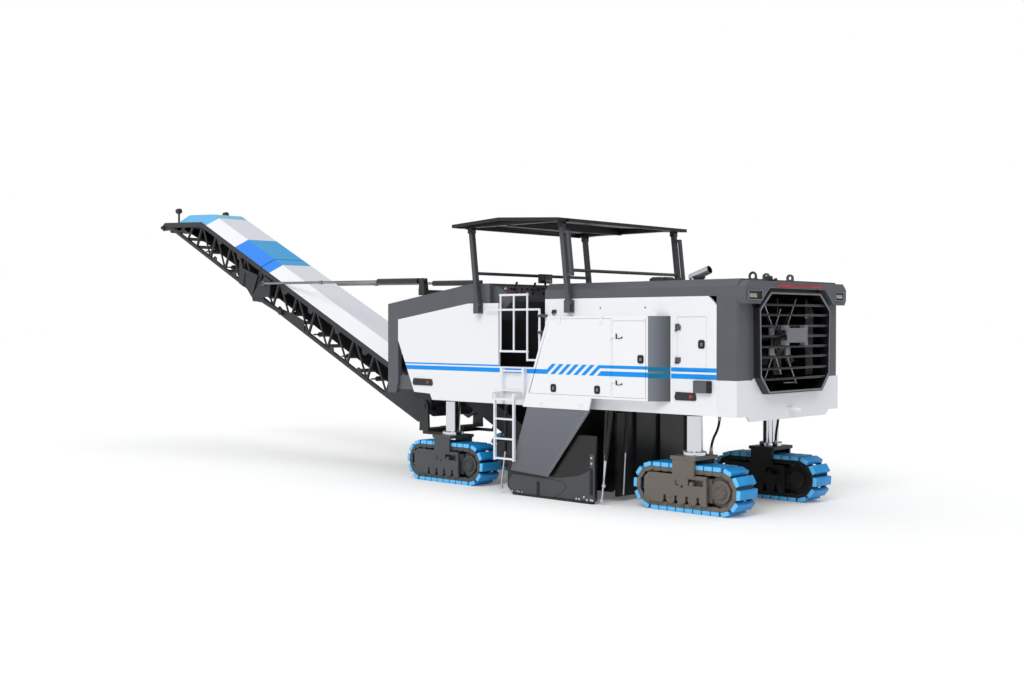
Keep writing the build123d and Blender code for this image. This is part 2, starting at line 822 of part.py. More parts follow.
bearing_z = 2940.0
nose_rear_x = bay_front_x + 180
post_low_z = 1390.0
with BuildPart() as front_cowl:
    cheek = [
        (nose_rear_x, 2815),
        (nose_rear_x, cowl_top_z),
        (cowl_peak_x, cowl_top_z),
        (nose_x, nose_top_z),
        (nose_x, post_low_z),
        (nose_x - 190, post_low_z),
        (nose_x - post_length, 1560),
        (nose_x - post_length, 2577),
        (front_column_x - 670, 2815),
    ]
    for side in (-1, 1):
        y_low, y_high = sorted((side * (body_half - nose_side), side * body_half))
        plate(cheek, y_low, y_high)
    lid = [
        (nose_rear_x, cowl_top_z),
        (cowl_peak_x, cowl_top_z),
        (slew_x - 350, nose_z(slew_x - 350)),
        (slew_x - 350, nose_z(slew_x - 350) - sheet),
        (cowl_peak_x, cowl_top_z - sheet),
        (nose_rear_x, cowl_top_z - sheet),
    ]
    plate(lid, -body_half + nose_side, body_half - nose_side)
    # Cross beam and the bearing that carries the mast
    block(
        (slew_x - 130, -body_half + nose_side, nose_top_z - 170),
        (slew_x + 110, body_half - nose_side, nose_top_z - 20),
    )
    along_z(slew_x, 0, 150, nose_top_z - 20, bearing_z)
    along_z(slew_x, 0, 60, bearing_z - 10, bearing_z + 80)
    # Feet that tie the posts back to the frame
    for side in (-1, 1):
        y_low, y_high = sorted((side * (inner_half - nose_side), side * inner_half))
        block((frame_front_x, y_low, post_low_z + 60), (nose_x - 150, y_high, belt_line_z - 100))
        lifting_eye(front_eye_x, side * front_eye_y, nose_z(front_eye_x))
save(front_cowl, "front_cowl")

with BuildPart() as radiator_grille:
    wall(octagon_ring(bezel_width), brow_rear_x - 30, body_rear_x + 40)
    wall(octagon_ring(0), brow_rear_x - 31, body_rear_x + 41, mode=Mode.SUBTRACT)
    louvre_low = grille_corners[-1][1] + 90
    louvre_high = grille_corners[0][1] - 95
    louvre_count = 8
    for index in range(louvre_count):
        z = louvre_low + (louvre_high - louvre_low) * index / (louvre_count - 1)
        block((brow_rear_x - 5, -body_half, z - 9), (brow_rear_x + 75, body_half, z + 9))
    wall(octagon_ring(bezel_width), brow_rear_x - 32, body_rear_x + 42, mode=Mode.INTERSECT)
save(radiator_grille, "radiator_grille")

fan_x = body_rear_x + 190
with BuildPart() as radiator:
    block((fan_x + 110, -900, belt_line_z - 100), (fan_x + 300, 900, hood_top_z - sheet - 6))
    along_x(0, fan_mid_z, fan_radius + 70, fan_x - 30, fan_x + 110)
    along_x(0, fan_mid_z, fan_radius + 40, fan_x - 31, fan_x + 108, mode=Mode.SUBTRACT)
    along_x(0, fan_mid_z, 40, fan_x + 40, fan_x + 112)
    for side in (-1, 1):
        y_low, y_high = sorted((side * 700, side * 820))
        block((fan_x + 110, y_low, floor_z + floor_plate), (fan_x + 300, y_high, belt_line_z - 99))
save(radiator, "radiator")

blade_count = 8
with BuildPart() as cooling_fan:
    along_x(0, fan_mid_z, 130, fan_x - 20, fan_x + 39.7)
    for index in range(blade_count):
        turn = 360 * index / blade_count
        with Locations(Location((fan_x + 10, 0, fan_mid_z), (turn, 0, 0))):
            with Locations(Location((0, 0, fan_radius / 2 + 60), (0, 0, 35))):
                Box(14, 110, fan_radius - 130)
save(cooling_fan, "cooling_fan")

with BuildPart() as engine_block:
    block(
        (rear_column_x + 250, -440, floor_z + floor_plate),
        (rear_column_x + 1190, 440, hood_top_z - 560),
    )
save(engine_block, "engine_block")

# ---------------------------------------------------------------- operator's station
deck_rear_x = bay_rear_x - sheet
deck_plate = 30.0
bulkhead = 30.0
with BuildPart() as operator_deck:
    block((deck_rear_x, -inner_half, deck_z - deck_plate), (nose_rear_x + bulkhead, inner_half, deck_z))
    for x in (deck_rear_x, bay_front_x - 40):
        block((x, -inner_half, belt_line_z), (x + 60, inner_half, deck_z - deck_plate))
    block((deck_rear_x, -inner_half, deck_z), (deck_rear_x + bulkhead, inner_half, panel_top_z - 10))
    block((nose_rear_x, -inner_half, deck_z), (nose_rear_x + bulkhead, inner_half, 2815))
    for side in (-1, 1):
        y_low, y_high = sorted((side * inner_half, side * (inner_half - 30)))
        block((bay_front_x, y_low, deck_z), (nose_rear_x, y_high, 2815))
save(operator_deck, "operator_deck")

console_low_z = 2560.0
with BuildPart() as operator_consoles:
    for side in (-1, 1):
        desk = [
            (nose_rear_x, console_low_z),
            (nose_rear_x, cowl_top_z - 40),
            (nose_rear_x - 90, cowl_top_z - 40),
            (bay_front_x - 200, 2900),
            (bay_front_x - 200, 2840),
        ]
        y_low, y_high = sorted((side * 250, side * (inner_half - 40)))
        plate(desk, y_low, y_high)
save(operator_consoles, "operator_consoles")

with BuildPart() as display_monitor:
    block((nose_rear_x + 20, -160, cowl_top_z + 30), (nose_rear_x + 70, 120, cowl_top_z + 175))
    along_z(nose_rear_x + 45, -20, 18, cowl_top_z, cowl_top_z + 40)
save(display_monitor, "display_monitor")

with BuildPart() as operator_seats:
    for side in (-1, 1):
        y = side * 760
        along_z(deck_rear_x + 300, y, 60, deck_z, deck_z + 420)
        block((deck_rear_x + 80, y - 230, deck_z + 420), (deck_rear_x + 520, y + 230, deck_z + 510))
        block((deck_rear_x + 80, y - 220, deck_z + 500), (deck_rear_x + 170, y + 220, deck_z + 980))
save(operator_seats, "operator_seats")

# ---------------------------------------------------------------- ladders
ladder_out_y = 1500.0
ladder_pin_z = 1460.0
with BuildPart() as ladder_frames:
    for side in (-1, 1):
        for x in (ladder_rear_x, ladder_front_x):
            y_low, y_high = sorted((side * body_half, side * (body_half + 70)))
            block((x - 22, y_low, floor_z + 10), (x + 22, y_high, deck_z - 20))
            y_low, y_high = sorted((side * (body_half + 60), side * (ladder_out_y + 32)))
            block((x - 5, y_low, ladder_pin_z - 60), (x + 5, y_high, ladder_pin_z + 40))
            along_x(side * ladder_out_y, ladder_pin_z, 10 + pin_clearance, x - 6, x + 6, mode=Mode.SUBTRACT)
        for z in (deck_z - 60, deck_z - 60 - rung_pitch):
            y_low, y_high = sorted((side * (body_half + 10), side * (body_half + 60)))
            block((ladder_rear_x, y_low, z - 12), (ladder_front_x, y_high, z + 12))
save(ladder_frames, "ladder_frames")

for side_name, side in (("left", 1), ("right", -1)):
    y = side * ladder_out_y
    with BuildPart() as ladder:
        for x in (ladder_rear_x, ladder_front_x):
            inward = 28 if x == ladder_rear_x else -28
            block((x + inward - 14, y - 20, ladder_low_z), (x + inward + 14, y + 20, ladder_pin_z + 25))
            x_low, x_high = sorted((x - inward * 0.9, x + inward))
            along_x(y, ladder_pin_z, 10, x_low, x_high)
        rungs = int((ladder_pin_z - ladder_low_z) / rung_pitch) + 1
        for index in range(rungs):
            z = ladder_low_z + 30 + index * rung_pitch
            block((ladder_rear_x + 28, y - 25, z - 12), (ladder_front_x - 28, y + 25, z + 12))
    save(ladder, f"ladder_{side_name}")

# ---------------------------------------------------------------- canopy
roof_edge = 50.0
roof_skin = 10.0
roof_bend_x = rear_column_x + 3071
# Top of the roof: (x, z)
roof_line = [(canopy_rear_x, 3998.0), (roof_bend_x, 4063.0), (canopy_front_x, 4008.0)]
with BuildPart() as canopy_roof:
    edge = roof_line + [(x, z - roof_edge) for x, z in reversed(roof_line)]
    plate(edge, -canopy_half_width, canopy_half_width)
    inner_line = [
        (canopy_rear_x + roof_skin, 3998.0 - roof_skin),
        (roof_bend_x, 4063.0 - roof_skin),
        (canopy_front_x - roof_skin, 4008.0 - roof_skin),
    ]
    pocket = inner_line + [(x, z - roof_edge - 40) for x, z in reversed(inner_line)]
    plate(pocket, -canopy_half_width + roof_skin, canopy_half_width - roof_skin, mode=Mode.SUBTRACT)
    for side in (-1, 1):
        y_low, y_high = sorted((side * (canopy_y - post_half - 14), side * (canopy_y + post_half + 14)))
        beam = inner_line + [(x, 3960.0) for x, z in reversed(inner_line)]
        plate(beam, y_low, y_high)
        for x in (front_post_x + post_lean, rear_post_x + post_lean):
            for out in (-1, 1):
                y_in = side * canopy_y + out * (post_half + 4)
                y_out = side * canopy_y + out * (post_half + 14)
                y_a, y_b = sorted((y_in, y_out))
                block((x - 40, y_a, post_top_z - 40), (x + 40, y_b, 3990))
    for x in (front_post_x + post_lean, rear_post_x + post_lean):
        for side in (-1, 1):
            y_a, y_b = sorted((side * (canopy_y - post_half - 14), side * (canopy_y + post_half + 14)))
            along_y(x, post_top_z, canopy_pin, y_a, y_b)
    for x in (front_post_x + post_lean + 120, roof_bend_x, rear_post_x + post_lean - 120):
        z = 3990 if x != roof_bend_x else 4050
        block((x - 20, -canopy_y, 3945), (x + 20, canopy_y, z))
save(canopy_roof, "canopy_roof")


def canopy_posts(base_x, rail_share, doubled):
    """A pair of posts with the rail across them; doubled posts have a second tube behind."""
    top_x = base_x + post_lean
    for side in (-1, 1):
        y_a, y_b = sorted((side * (canopy_y - post_half), side * (canopy_y + post_half)))
        strut((base_x, post_base_z), (top_x, post_top_z), 70, y_a, y_b)
        along_y(base_x, post_base_z, 45, y_a, y_b)
        along_y(top_x, post_top_z, 38, y_a, y_b)
        if doubled:
            share_low, share_high = 0.36, 0.9
            low = (base_x + post_lean * share_low - 105, post_base_z + (post_top_z - post_base_z) * share_low)
            high_z = post_base_z + (post_top_z - post_base_z) * share_high
            high = (base_x + post_lean * share_high - 105, high_z)
            strut(low, high, 44, y_a + 10, y_b - 10)
            for x, z in (low, high):
                block((x - 20, y_a + 10, z - 20), (x + 110, y_b - 10, z + 20))
        for x, z in ((base_x, post_base_z), (top_x, post_top_z)):
            along_y(x, z, canopy_pin + pin_clearance, y_a - 1, y_b + 1, mode=Mode.SUBTRACT)
    rail_x = base_x + post_lean * rail_share
    rail_z = post_base_z + (post_top_z - post_base_z) * rail_share
    along_y(rail_x, rail_z, 24, -canopy_y + post_half - 5, canopy_y - post_half + 5)


with BuildPart() as canopy_front_posts:
    canopy_posts(front_post_x, 0.42, False)
save(canopy_front_posts, "canopy_front_posts")

with BuildPart() as canopy_rear_posts:
    canopy_posts(rear_post_x, 0.42, True)
save(canopy_rear_posts, "canopy_rear_posts")

with BuildPart() as exhaust_pipe:
    pipe_x = rear_column_x + 420
    pipe_y = 350
    along_z(pipe_x, pipe_y, 75, hood_top_z, hood_top_z + 60)
    with BuildSketch(Plane(origin=(pipe_x + 60, pipe_y, hood_top_z + 60), z_dir=(-1, 0, 0.35))) as bore:
        Circle(58)
    extrude(bore.sketch, amount=330)
    bore_plane = Plane(origin=(pipe_x + 60, pipe_y, hood_top_z + 60), z_dir=(-1, 0, 0.35))
    with BuildSketch(bore_plane.offset(120)) as bore:
        Circle(52)
    extrude(bore.sketch, amount=230, mode=Mode.SUBTRACT)
save(exhaust_pipe, "exhaust_pipe")

# ---------------------------------------------------------------- milling unit
housing_right_y = drum_right_y - 10
housing_left_y = drum_left_y + 10
gear_case_y = 1335.0
housing_low_z = 130.0
door_low_z = 70.0
bearing_radius = 110.0
edge_gap = 25.0
edge_guides = (rear_column_x + 1930, rear_column_x + 2400)
with BuildPart() as drum_housing:
    side_outline = [
        (housing_rear_x, floor_z),
        (housing_front_x, floor_z),
        (housing_front_x, housing_low_z),
        (housing_rear_x + 60, housing_low_z),
        (housing_rear_x, housing_low_z + 60),
    ]
    plate(side_outline, housing_right_y - housing_wall, housing_right_y)
    plate(side_outline, housing_left_y, housing_left_y + housing_wall)
    block(
        (housing_rear_x, housing_right_y - 1, floor_z - housing_wall),
        (housing_front_x, housing_left_y + 1, floor_z),
    )
    block(
        (housing_front_x - housing_wall, housing_right_y - 1, housing_low_z),
        (housing_front_x, housing_left_y + 1, floor_z),
    )
    block(
        (housing_front_x - housing_wall - 1, -430, housing_low_z - 1),
        (housing_front_x + 1, 430, 780),
        mode=Mode.SUBTRACT,
    )
    # Drive case between the drum and the left shield
    shield = [
        (rear_column_x + 2570, floor_z - 10),
        (rear_column_x + 1400, floor_z - 10),
        (rear_column_x + 2180, 325),
        (rear_column_x + 2900, 365),
    ]
    drive = [
        (rear_column_x + 2520, floor_z),
        (rear_column_x + 1600, floor_z),
        (rear_column_x + 1900, 340),
        (rear_column_x + 2640, 340),
    ]
    plate(drive, housing_left_y + housing_wall - 1, gear_case_y)
    plate(shield, shield_face_y - 34, shield_face_y - 10)
    # Guides that the edge plates slide on
    for x in edge_guides:
        for y_a, y_b in (
            (gear_case_y - 1, gear_case_y + edge_gap - pin_clearance),
            (housing_right_y - housing_wall - edge_gap + pin_clearance, housing_right_y - housing_wall + 1),
        ):
            block((x, y_a, 360), (x + 60, y_b, 1200))
    for x in (1750, 2450):
        block(
            (rear_column_x + x, gear_case_y - 1, floor_z - 60),
            (rear_column_x + x + 60, shield_face_y - 33, floor_z - 12),
        )
    for y_a, y_b in (
        (housing_right_y - housing_wall - 1, housing_right_y + 1),
        (housing_left_y - 1, housing_left_y + housing_wall + 1),
    ):
        along_y(drum_x, drum_mid_z, bearing_radius + pin_clearance, y_a, y_b, mode=Mode.SUBTRACT)
    along_y(
        drum_x,
        drum_mid_z,
        bearing_radius + pin_clearance,
        housing_left_y - 1,
        housing_left_y + 150,
        mode=Mode.SUBTRACT,
    )
save(drum_housing, "drum_housing")

with BuildPart() as milling_drum:
    along_y(drum_x, drum_mid_z, drum_tube_radius, drum_right_y, drum_left_y)
    along_y(
        drum_x,
        drum_mid_z,
        bearing_radius,
        housing_right_y - housing_wall + 2,
        housing_left_y + housing_wall + 60,
    )
    tool_rows = 11
    tools_in_row = 6
    tool_height = drum_radius - drum_tube_radius
    for row in range(tool_rows):
        y = drum_right_y + 90 + row * (drum_left_y - drum_right_y - 180) / (tool_rows - 1)
        for number in range(tools_in_row):
            turn = 360 * number / tools_in_row + abs(row - (tool_rows - 1) / 2) * 22
            with Locations(Location((drum_x, y, drum_mid_z), (0, turn, 0))):
                with Locations((0, 0, drum_tube_radius + tool_height / 2 - 12)):
                    Box(60, 50, tool_height + 24 - 1)
save(milling_drum, "milling_drum")

with BuildPart() as scraper_door:
    scraper_right_y = housing_right_y - housing_wall
    scraper_left_y = housing_left_y + housing_wall
    block((housing_rear_x - 30, scraper_right_y, door_low_z), (housing_rear_x, scraper_left_y, floor_z - 60))
    for y in (-700, 0, 560):
        block((housing_rear_x - 70, y - 12, door_low_z + 200), (housing_rear_x - 29, y + 12, floor_z - 60))
save(scraper_door, "scraper_door")

for side_name, y_low, y_high in (
    ("left", gear_case_y + edge_gap, gear_case_y + edge_gap + edge_plate_thickness),
    (
        "right",
        housing_right_y - housing_wall - edge_gap - edge_plate_thickness,
        housing_right_y - housing_wall - edge_gap,
    ),
):
    outline = [
        (housing_rear_x + 60, 0),
        (housing_front_x - 120, 0),
        (housing_front_x, 110),
        (housing_front_x, 700),
        (housing_front_x - 300, 950),
        (housing_rear_x, 950),
        (housing_rear_x, 60),
    ]
    with BuildPart() as edge_plate:
        plate(outline, y_low, y_high)
        block((housing_rear_x + 60, y_low - 15, 0), (housing_front_x - 120, y_high + 15, 30))
    save(edge_plate, f"edge_plate_{side_name}")

# ---------------------------------------------------------------- pick-up conveyor
pickup_half = 400.0
pickup_depth = 330.0
pickup_start = (housing_front_x + 20, 420.0)
pickup_end = (slew_x - 170, 1690.0)
with BuildPart() as pickup_conveyor:
    (x0, z0), (x1, z1) = pickup_start, pickup_end
    strut(pickup_start, pickup_end, pickup_depth, -pickup_half, pickup_half)
    reach = hypot(x1 - x0, z1 - z0)
    along_y(x1, z1, pickup_depth / 2, -pickup_half, pickup_half)
    for side in (-1, 1):
        y_a, y_b = sorted((side * (pickup_half - 1), side * tunnel_half))
        for share in (0.74, 0.84):
            x = x0 + (x1 - x0) * share
            z = z0 + (z1 - z0) * share
            block((x - 60, y_a, z - 40), (x + 60, y_b, z + 40))
save(pickup_conveyor, "pickup_conveyor")

# ---------------------------------------------------------------- discharge conveyor
ear = 40.0
ear_gap = 6.0
ear_y = conveyor_half + ear_gap
luff_pin = 45.0
seat_gap = 0.4
with BuildPart() as conveyor_seat:
    along_z(slew_x, 0, 200, seat_low_z + seat_gap, seat_low_z + 50)
    block((slew_x - 110, -ear_y - ear, seat_low_z + 12), (slew_x + 110, ear_y + ear, seat_low_z + 50))
    along_z(slew_x, 0, 60 + pin_clearance, seat_low_z - 1, seat_low_z + 37, mode=Mode.SUBTRACT)
    for side in (-1, 1):
        y_a, y_b = sorted((side * ear_y, side * (ear_y + ear)))
        cheek = [
            (slew_x - 110, seat_low_z + 12),
            (slew_x + 110, seat_low_z + 12),
            (slew_x + 95, luff_z),
            (slew_x - 95, luff_z),
        ]
        plate(cheek, y_a, y_b)
        along_y(slew_x, luff_z, 95, y_a, y_b)
        along_y(slew_x, luff_z, luff_pin + pin_clearance, y_a - 1, y_b + 1, mode=Mode.SUBTRACT)
save(conveyor_seat, "conveyor_seat")

mast_half = 70.0
with BuildPart() as conveyor_mast:
    along_z(slew_x, 0, 150, bearing_z + seat_gap, bearing_z + 130)
    along_z(slew_x, 0, 60 + pin_clearance, bearing_z - 1, bearing_z + 81, mode=Mode.SUBTRACT)
    block((slew_x - mast_half, -stay_y - 50, bearing_z + 40), (slew_x + mast_half, -149, bearing_z + 130))
    block((slew_x - mast_half, 149, bearing_z + 40), (slew_x + mast_half, stay_y + 50, bearing_z + 130))
    for side in (-1, 1):
        for out in (-1, 1):
            y_a, y_b = sorted((side * stay_y + out * 32, side * stay_y + out * 50))
            lug = [
                (slew_x - mast_half, bearing_z + 129),
                (slew_x + mast_half, bearing_z + 129),
                (slew_x + 40, mast_pin_z + 45),
                (slew_x - 40, mast_pin_z + 45),
            ]
            plate(lug, y_a, y_b)
        along_y(slew_x, mast_pin_z, 20, side * stay_y - 50, side * stay_y + 50)
save(conveyor_mast, "conveyor_mast")

stay_eye = on_conveyor(stay_eye_s, stay_eye_h)
stay_pin = 20.0
barrel_length = 1150.0
barrel_radius = 48.0
rod_radius = 24.0
stay_rise = degrees(atan2(stay_eye[1] - mast_pin_z, stay_eye[0] - slew_x))
stay_length = hypot(stay_eye[0] - slew_x, stay_eye[1] - mast_pin_z)


def stay_plane(y):
    """Base plane across the stay, at its mast pin."""
    return Plane(
        origin=(slew_x, y, mast_pin_z),
        x_dir=(0, 1, 0),
        z_dir=(cos(radians(stay_rise)), 0, sin(radians(stay_rise))),
    )


with BuildPart() as stay_cylinders:
    for side in (-1, 1):
        y = side * stay_y
        along_y(slew_x, mast_pin_z, 42, y - 26, y + 26)
        shaft(stay_plane(y), (0, 0), 25, 30, 130)
        shaft(stay_plane(y), (0, 0), barrel_radius, 120, barrel_length)
        shaft(stay_plane(y), (0, 0), rod_radius + pin_clearance, 400, barrel_length + 1, Mode.SUBTRACT)
        along_y(slew_x, mast_pin_z, stay_pin + pin_clearance, y - 27, y + 27, mode=Mode.SUBTRACT)
save(stay_cylinders, "stay_cylinders")

with BuildPart() as stay_rods:
    for side in (-1, 1):
        y = side * stay_y
        shaft(stay_plane(y), (0, 0), rod_radius, 800, stay_length - 40)
        shaft(stay_plane(y), (0, 0), 34, 2700, 2780)
        along_y(stay_eye[0], stay_eye[1], 42, y - 18, y + 18)
        along_y(stay_eye[0], stay_eye[1], stay_pin + 4, y - 19, y + 19, mode=Mode.SUBTRACT)
save(stay_rods, "stay_rods")

chord_half = chord_size / 2
inner_end_s = fold_s - fold_gap / 2
outer_start_s = fold_s + fold_gap / 2
side_plate = 14.0
bay = 620.0


def truss_side(s_low, s_high, y_low, y_high, top_start):
    """One side of the truss: two chords with posts and diagonals between them."""
    low_line = chord_low + chord_half
    top_line = chord_top - chord_half
    low_top = chord_low + chord_size
    conveyor_plate(
        [(s_low, chord_low), (s_high, chord_low), (s_high, low_top), (s_low, low_top)],
        y_low,
        y_high,
    )
    conveyor_plate(
        [
            (top_start, chord_top - chord_size * 1.6),
            (s_high, chord_top - chord_size * 1.6),
            (s_high, chord_top),
            (top_start, chord_top),
        ],
        y_low,
        y_high,
    )
    panels = max(1, round((s_high - top_start) / bay))
    step = (s_high - top_start) / panels
    for index in range(panels + 1):
        s = min(max(top_start + index * step, top_start + 20), s_high - 20)
        strut(on_conveyor(s, low_line), on_conveyor(s, top_line), 40, y_low + 12, y_high - 12)
        if index < panels:
            strut(on_conveyor(s, low_line), on_conveyor(s + step, top_line), 30, y_low + 18, y_high - 18)


tail_plate_s = 1020.0
bracket_plate = 16.0
fold_pin = on_conveyor(fold_s, fold_h)
fold_pin_radius = 25.0
fold_boss = 55.0
belt_half = 400.0
belt_thickness = 12.0
belt_top_h = 90.0
belt_low_h = -190.0
pulley_radius = (belt_top_h - belt_low_h) / 2 - belt_thickness
pulley_h = (belt_top_h + belt_low_h) / 2
with BuildPart() as conveyor_inner_frame:
    for side in (-1, 1):
        y_a, y_b = sorted((side * conveyor_half, side * (conveyor_half - chord_size)))
        truss_side(tail_plate_s - 60, inner_end_s, y_a, y_b, tail_plate_s - 60)
        tail = [
            (-80, -150),
            (60, -330),
            (tail_plate_s, chord_low),
            (tail_plate_s, chord_top),
            (650, chord_top),
            (-60, 150),
            (-130, 0),
        ]
        y_a, y_b = sorted((side * conveyor_half, side * (conveyor_half - 2 * side_plate)))
        conveyor_plate(tail, y_a, y_b)
        y_a, y_b = sorted((side * (conveyor_half - 60), side * (ear_y + ear + 10)))
        along_y(slew_x, luff_z, luff_pin, y_a, y_b)
        # Levers that carry the stays' pins and lean towards the fold's pin
        y_a, y_b = sorted((side * (conveyor_half - 1), side * (stay_y - 26)))
        conveyor_plate(
            [
                (stay_eye_s - 230, stay_eye_h - 150),
                (stay_eye_s - 140, stay_eye_h + 120),
                (stay_eye_s + 60, stay_eye_h + 120),
                (fold_s - fold_gap / 2, chord_low + chord_size),
                (fold_s - fold_gap / 2, chord_low),
                (fold_s - 150, chord_low),
                (stay_eye_s - 60, stay_eye_h - 270),
            ],
            y_a,
            y_b,
        )
        # Fold hinge ears below the lower chord
        y_a, y_b = sorted((side * (conveyor_half - 44), side * (conveyor_half - 20)))
        conveyor_plate(
            [
                (fold_s - 420, chord_low + 5),
                (fold_s - 10, chord_low + 5),
                (fold_s + 38, fold_h),
                (fold_s - 20, fold_h - 45),
                (fold_s - 60, fold_h - 30),
            ],
            y_a,
            y_b,
        )
        along_y(*fold_pin, fold_boss, y_a, y_b)
        along_y(*fold_pin, fold_pin_radius + pin_clearance, y_a - 1, y_b + 1, mode=Mode.SUBTRACT)
    along_y(*on_conveyor(0, pulley_h), pulley_radius - 0.4, -belt_half, belt_half)
    along_y(*on_conveyor(0, pulley_h), 40, -conveyor_half + 10, conveyor_half - 10)
    cross_stations = (tail_plate_s, 1900, 2900, 3900, inner_end_s - 60)
    for s in cross_stations:
        conveyor_plate(
            [(s, chord_low), (s + 50, chord_low), (s + 50, chord_low + 50), (s, chord_low + 50)],
            -conveyor_half + 1,
            conveyor_half - 1,
        )
save(conveyor_inner_frame, "conveyor_inner_frame")

head_pulley = on_tip(1440, -105)
head_pulley_radius = 85.0
tip_chord = 96.0
lamp_x = on_tip(tip_cover + 35, 0)[0]
with BuildPart() as conveyor_outer_frame:
    low_line = chord_low + chord_half
    top_line = chord_top - chord_half
    for side in (-1, 1):
        y_a, y_b = sorted((side * conveyor_half, side * (conveyor_half - chord_size)))
        truss_side(outer_start_s, kink_s, y_a, y_b, outer_start_s)
        tip_end = [on_tip(tip_length, -tip_chord), on_tip(tip_length, 0)]
        plate([on_tip(-10, -tip_chord), *tip_end, on_tip(0, 0)], y_a, y_b)
        conveyor_plate(
            [
                (kink_s - 20, chord_low),
                (tip_low_s, chord_low),
                (tip_low_s, chord_low + chord_size),
                (kink_s - 20, chord_low + chord_size),
            ],
            y_a,
            y_b,
        )
        for s, t in ((7900, 330), (8230, 640), (8500, 900)):
            strut(on_conveyor(s, low_line), on_tip(t, -tip_chord / 2), 34, y_a + 14, y_b - 14)
        # End plate that carries the head pulley's bearing
        plate(
            [
                on_conveyor(tip_low_s - 60, chord_low),
                on_conveyor(tip_low_s, chord_low),
                on_tip(1490, -170),
                on_tip(1500, -60),
                on_tip(1420, 0),
                on_tip(900, -20),
            ],
            y_a + 10,
            y_b - 10,
        )
        # Side frame that stiffens the outer section beside the fold
        y_c, y_d = sorted((side * (conveyor_half - 1), side * (conveyor_half + bracket_plate)))
        conveyor_plate(
            [
                (outer_start_s + 20, chord_low),
                (outer_start_s + 20, 50),
                (outer_start_s + 540, -25),
                (outer_start_s + 650, 100),
                (outer_start_s + 710, 100),
                (outer_start_s + 530, chord_low),
            ],
            y_c,
            y_d,
        )
        conveyor_plate(
            [
                (outer_start_s + 130, chord_low - 1),
                (outer_start_s + 160, -40),
                (outer_start_s + 440, -80),
                (outer_start_s + 360, chord_low - 1),
            ],
            min(side * conveyor_half, side * (conveyor_half + bracket_plate + 1)),
            max(side * conveyor_half, side * (conveyor_half + bracket_plate + 1)),
            mode=Mode.SUBTRACT,
        )
        # Fold hinge ears, inside those of the inner section
        y_c, y_d = sorted((side * (conveyor_half - 50), side * (conveyor_half - 72)))
        conveyor_plate(
            [
                (outer_start_s + 2, chord_low + 5),
                (fold_s + 420, chord_low + 5),
                (fold_s + 70, fold_h - 40),
                (fold_s + 10, fold_h - 50),
            ],
            y_c,
            y_d,
        )
        along_y(*fold_pin, fold_boss, y_c, y_d)
        y_pin_a, y_pin_b = sorted((side * (conveyor_half - 15), side * (conveyor_half - 72)))
        along_y(*fold_pin, fold_pin_radius, y_pin_a, y_pin_b)
        lamp_y = side * (conveyor_half - chord_half)
        lamp_foot_z = on_tip(tip_cover, -40)[1]
        block((lamp_x - 15, lamp_y - 15, lamp_foot_z), (lamp_x + 15, lamp_y + 15, lamp_foot_z + 280))
        along_x(lamp_y, lamp_foot_z + 280, 55, lamp_x - 40, lamp_x + 50)
    along_y(*head_pulley, head_pulley_radius - 0.4, -belt_half, belt_half)
    along_y(*head_pulley, 36, -conveyor_half - 50, conveyor_half + 50)
    for s in (outer_start_s + 40, 6300, kink_s, 7960):
        conveyor_plate(
            [(s, chord_low), (s + 50, chord_low), (s + 50, chord_low + 50), (s, chord_low + 50)],
            -conveyor_half + 1,
            conveyor_half - 1,
        )
save(conveyor_outer_frame, "conveyor_outer_frame")

with BuildPart() as conveyor_belt_inner:
    conveyor_plate(
        [(0, belt_low_h), (inner_end_s, belt_low_h), (inner_end_s, belt_top_h), (0, belt_top_h)],
        -belt_half,
        belt_half,
    )
    along_y(*on_conveyor(0, pulley_h), pulley_radius + belt_thickness, -belt_half, belt_half)
    conveyor_plate(
        [
            (0, belt_low_h + belt_thickness),
            (inner_end_s + 1, belt_low_h + belt_thickness),
            (inner_end_s + 1, belt_top_h - belt_thickness),
            (0, belt_top_h - belt_thickness),
        ],
        -belt_half - 1,
        belt_half + 1,
        mode=Mode.SUBTRACT,
    )
    along_y(*on_conveyor(0, pulley_h), pulley_radius, -belt_half - 1, belt_half + 1, mode=Mode.SUBTRACT)
save(conveyor_belt_inner, "conveyor_belt_inner")

def belt_loop(thickness):
    """Outline of the outer belt, thickness in from its outer face, open at the fold."""
    head_x, head_z = head_pulley
    reach = head_pulley_radius + belt_thickness - thickness
    rise = radians(tip_belt_rise)
    start = outer_start_s - (1 if thickness else 0)
    fall = radians(tip_belt_fall)
    with BuildSketch(Plane.XZ.offset(belt_half + (1 if thickness else 0))) as profile:
        with BuildLine():
            Polyline(
                (head_x - reach * sin(rise), head_z + reach * cos(rise)),
                on_conveyor(belt_kink_s, belt_top_h - thickness),
                on_conveyor(start, belt_top_h - thickness),
                on_conveyor(start, belt_low_h + thickness),
                on_conveyor(belt_kink_s, belt_low_h + thickness),
                on_conveyor(belt_return_s, belt_return_h + thickness),
                (head_x - reach * sin(fall), head_z - reach * cos(fall)),
                close=True,
            )
        make_face()
        with Locations(head_pulley):
            Circle(reach)
    return profile.sketch


tip_belt_rise = 8.6
tip_belt_fall = 6.2
belt_kink_s = kink_s - 60
belt_return_s = 8400.0
belt_return_h = -268.0
with BuildPart() as conveyor_belt_outer:
    extrude(belt_loop(0), amount=-2 * belt_half)
    extrude(belt_loop(belt_thickness), amount=-2 * (belt_half + 1), mode=Mode.SUBTRACT)
save(conveyor_belt_outer, "conveyor_belt_outer")

cover_skin = 10.0


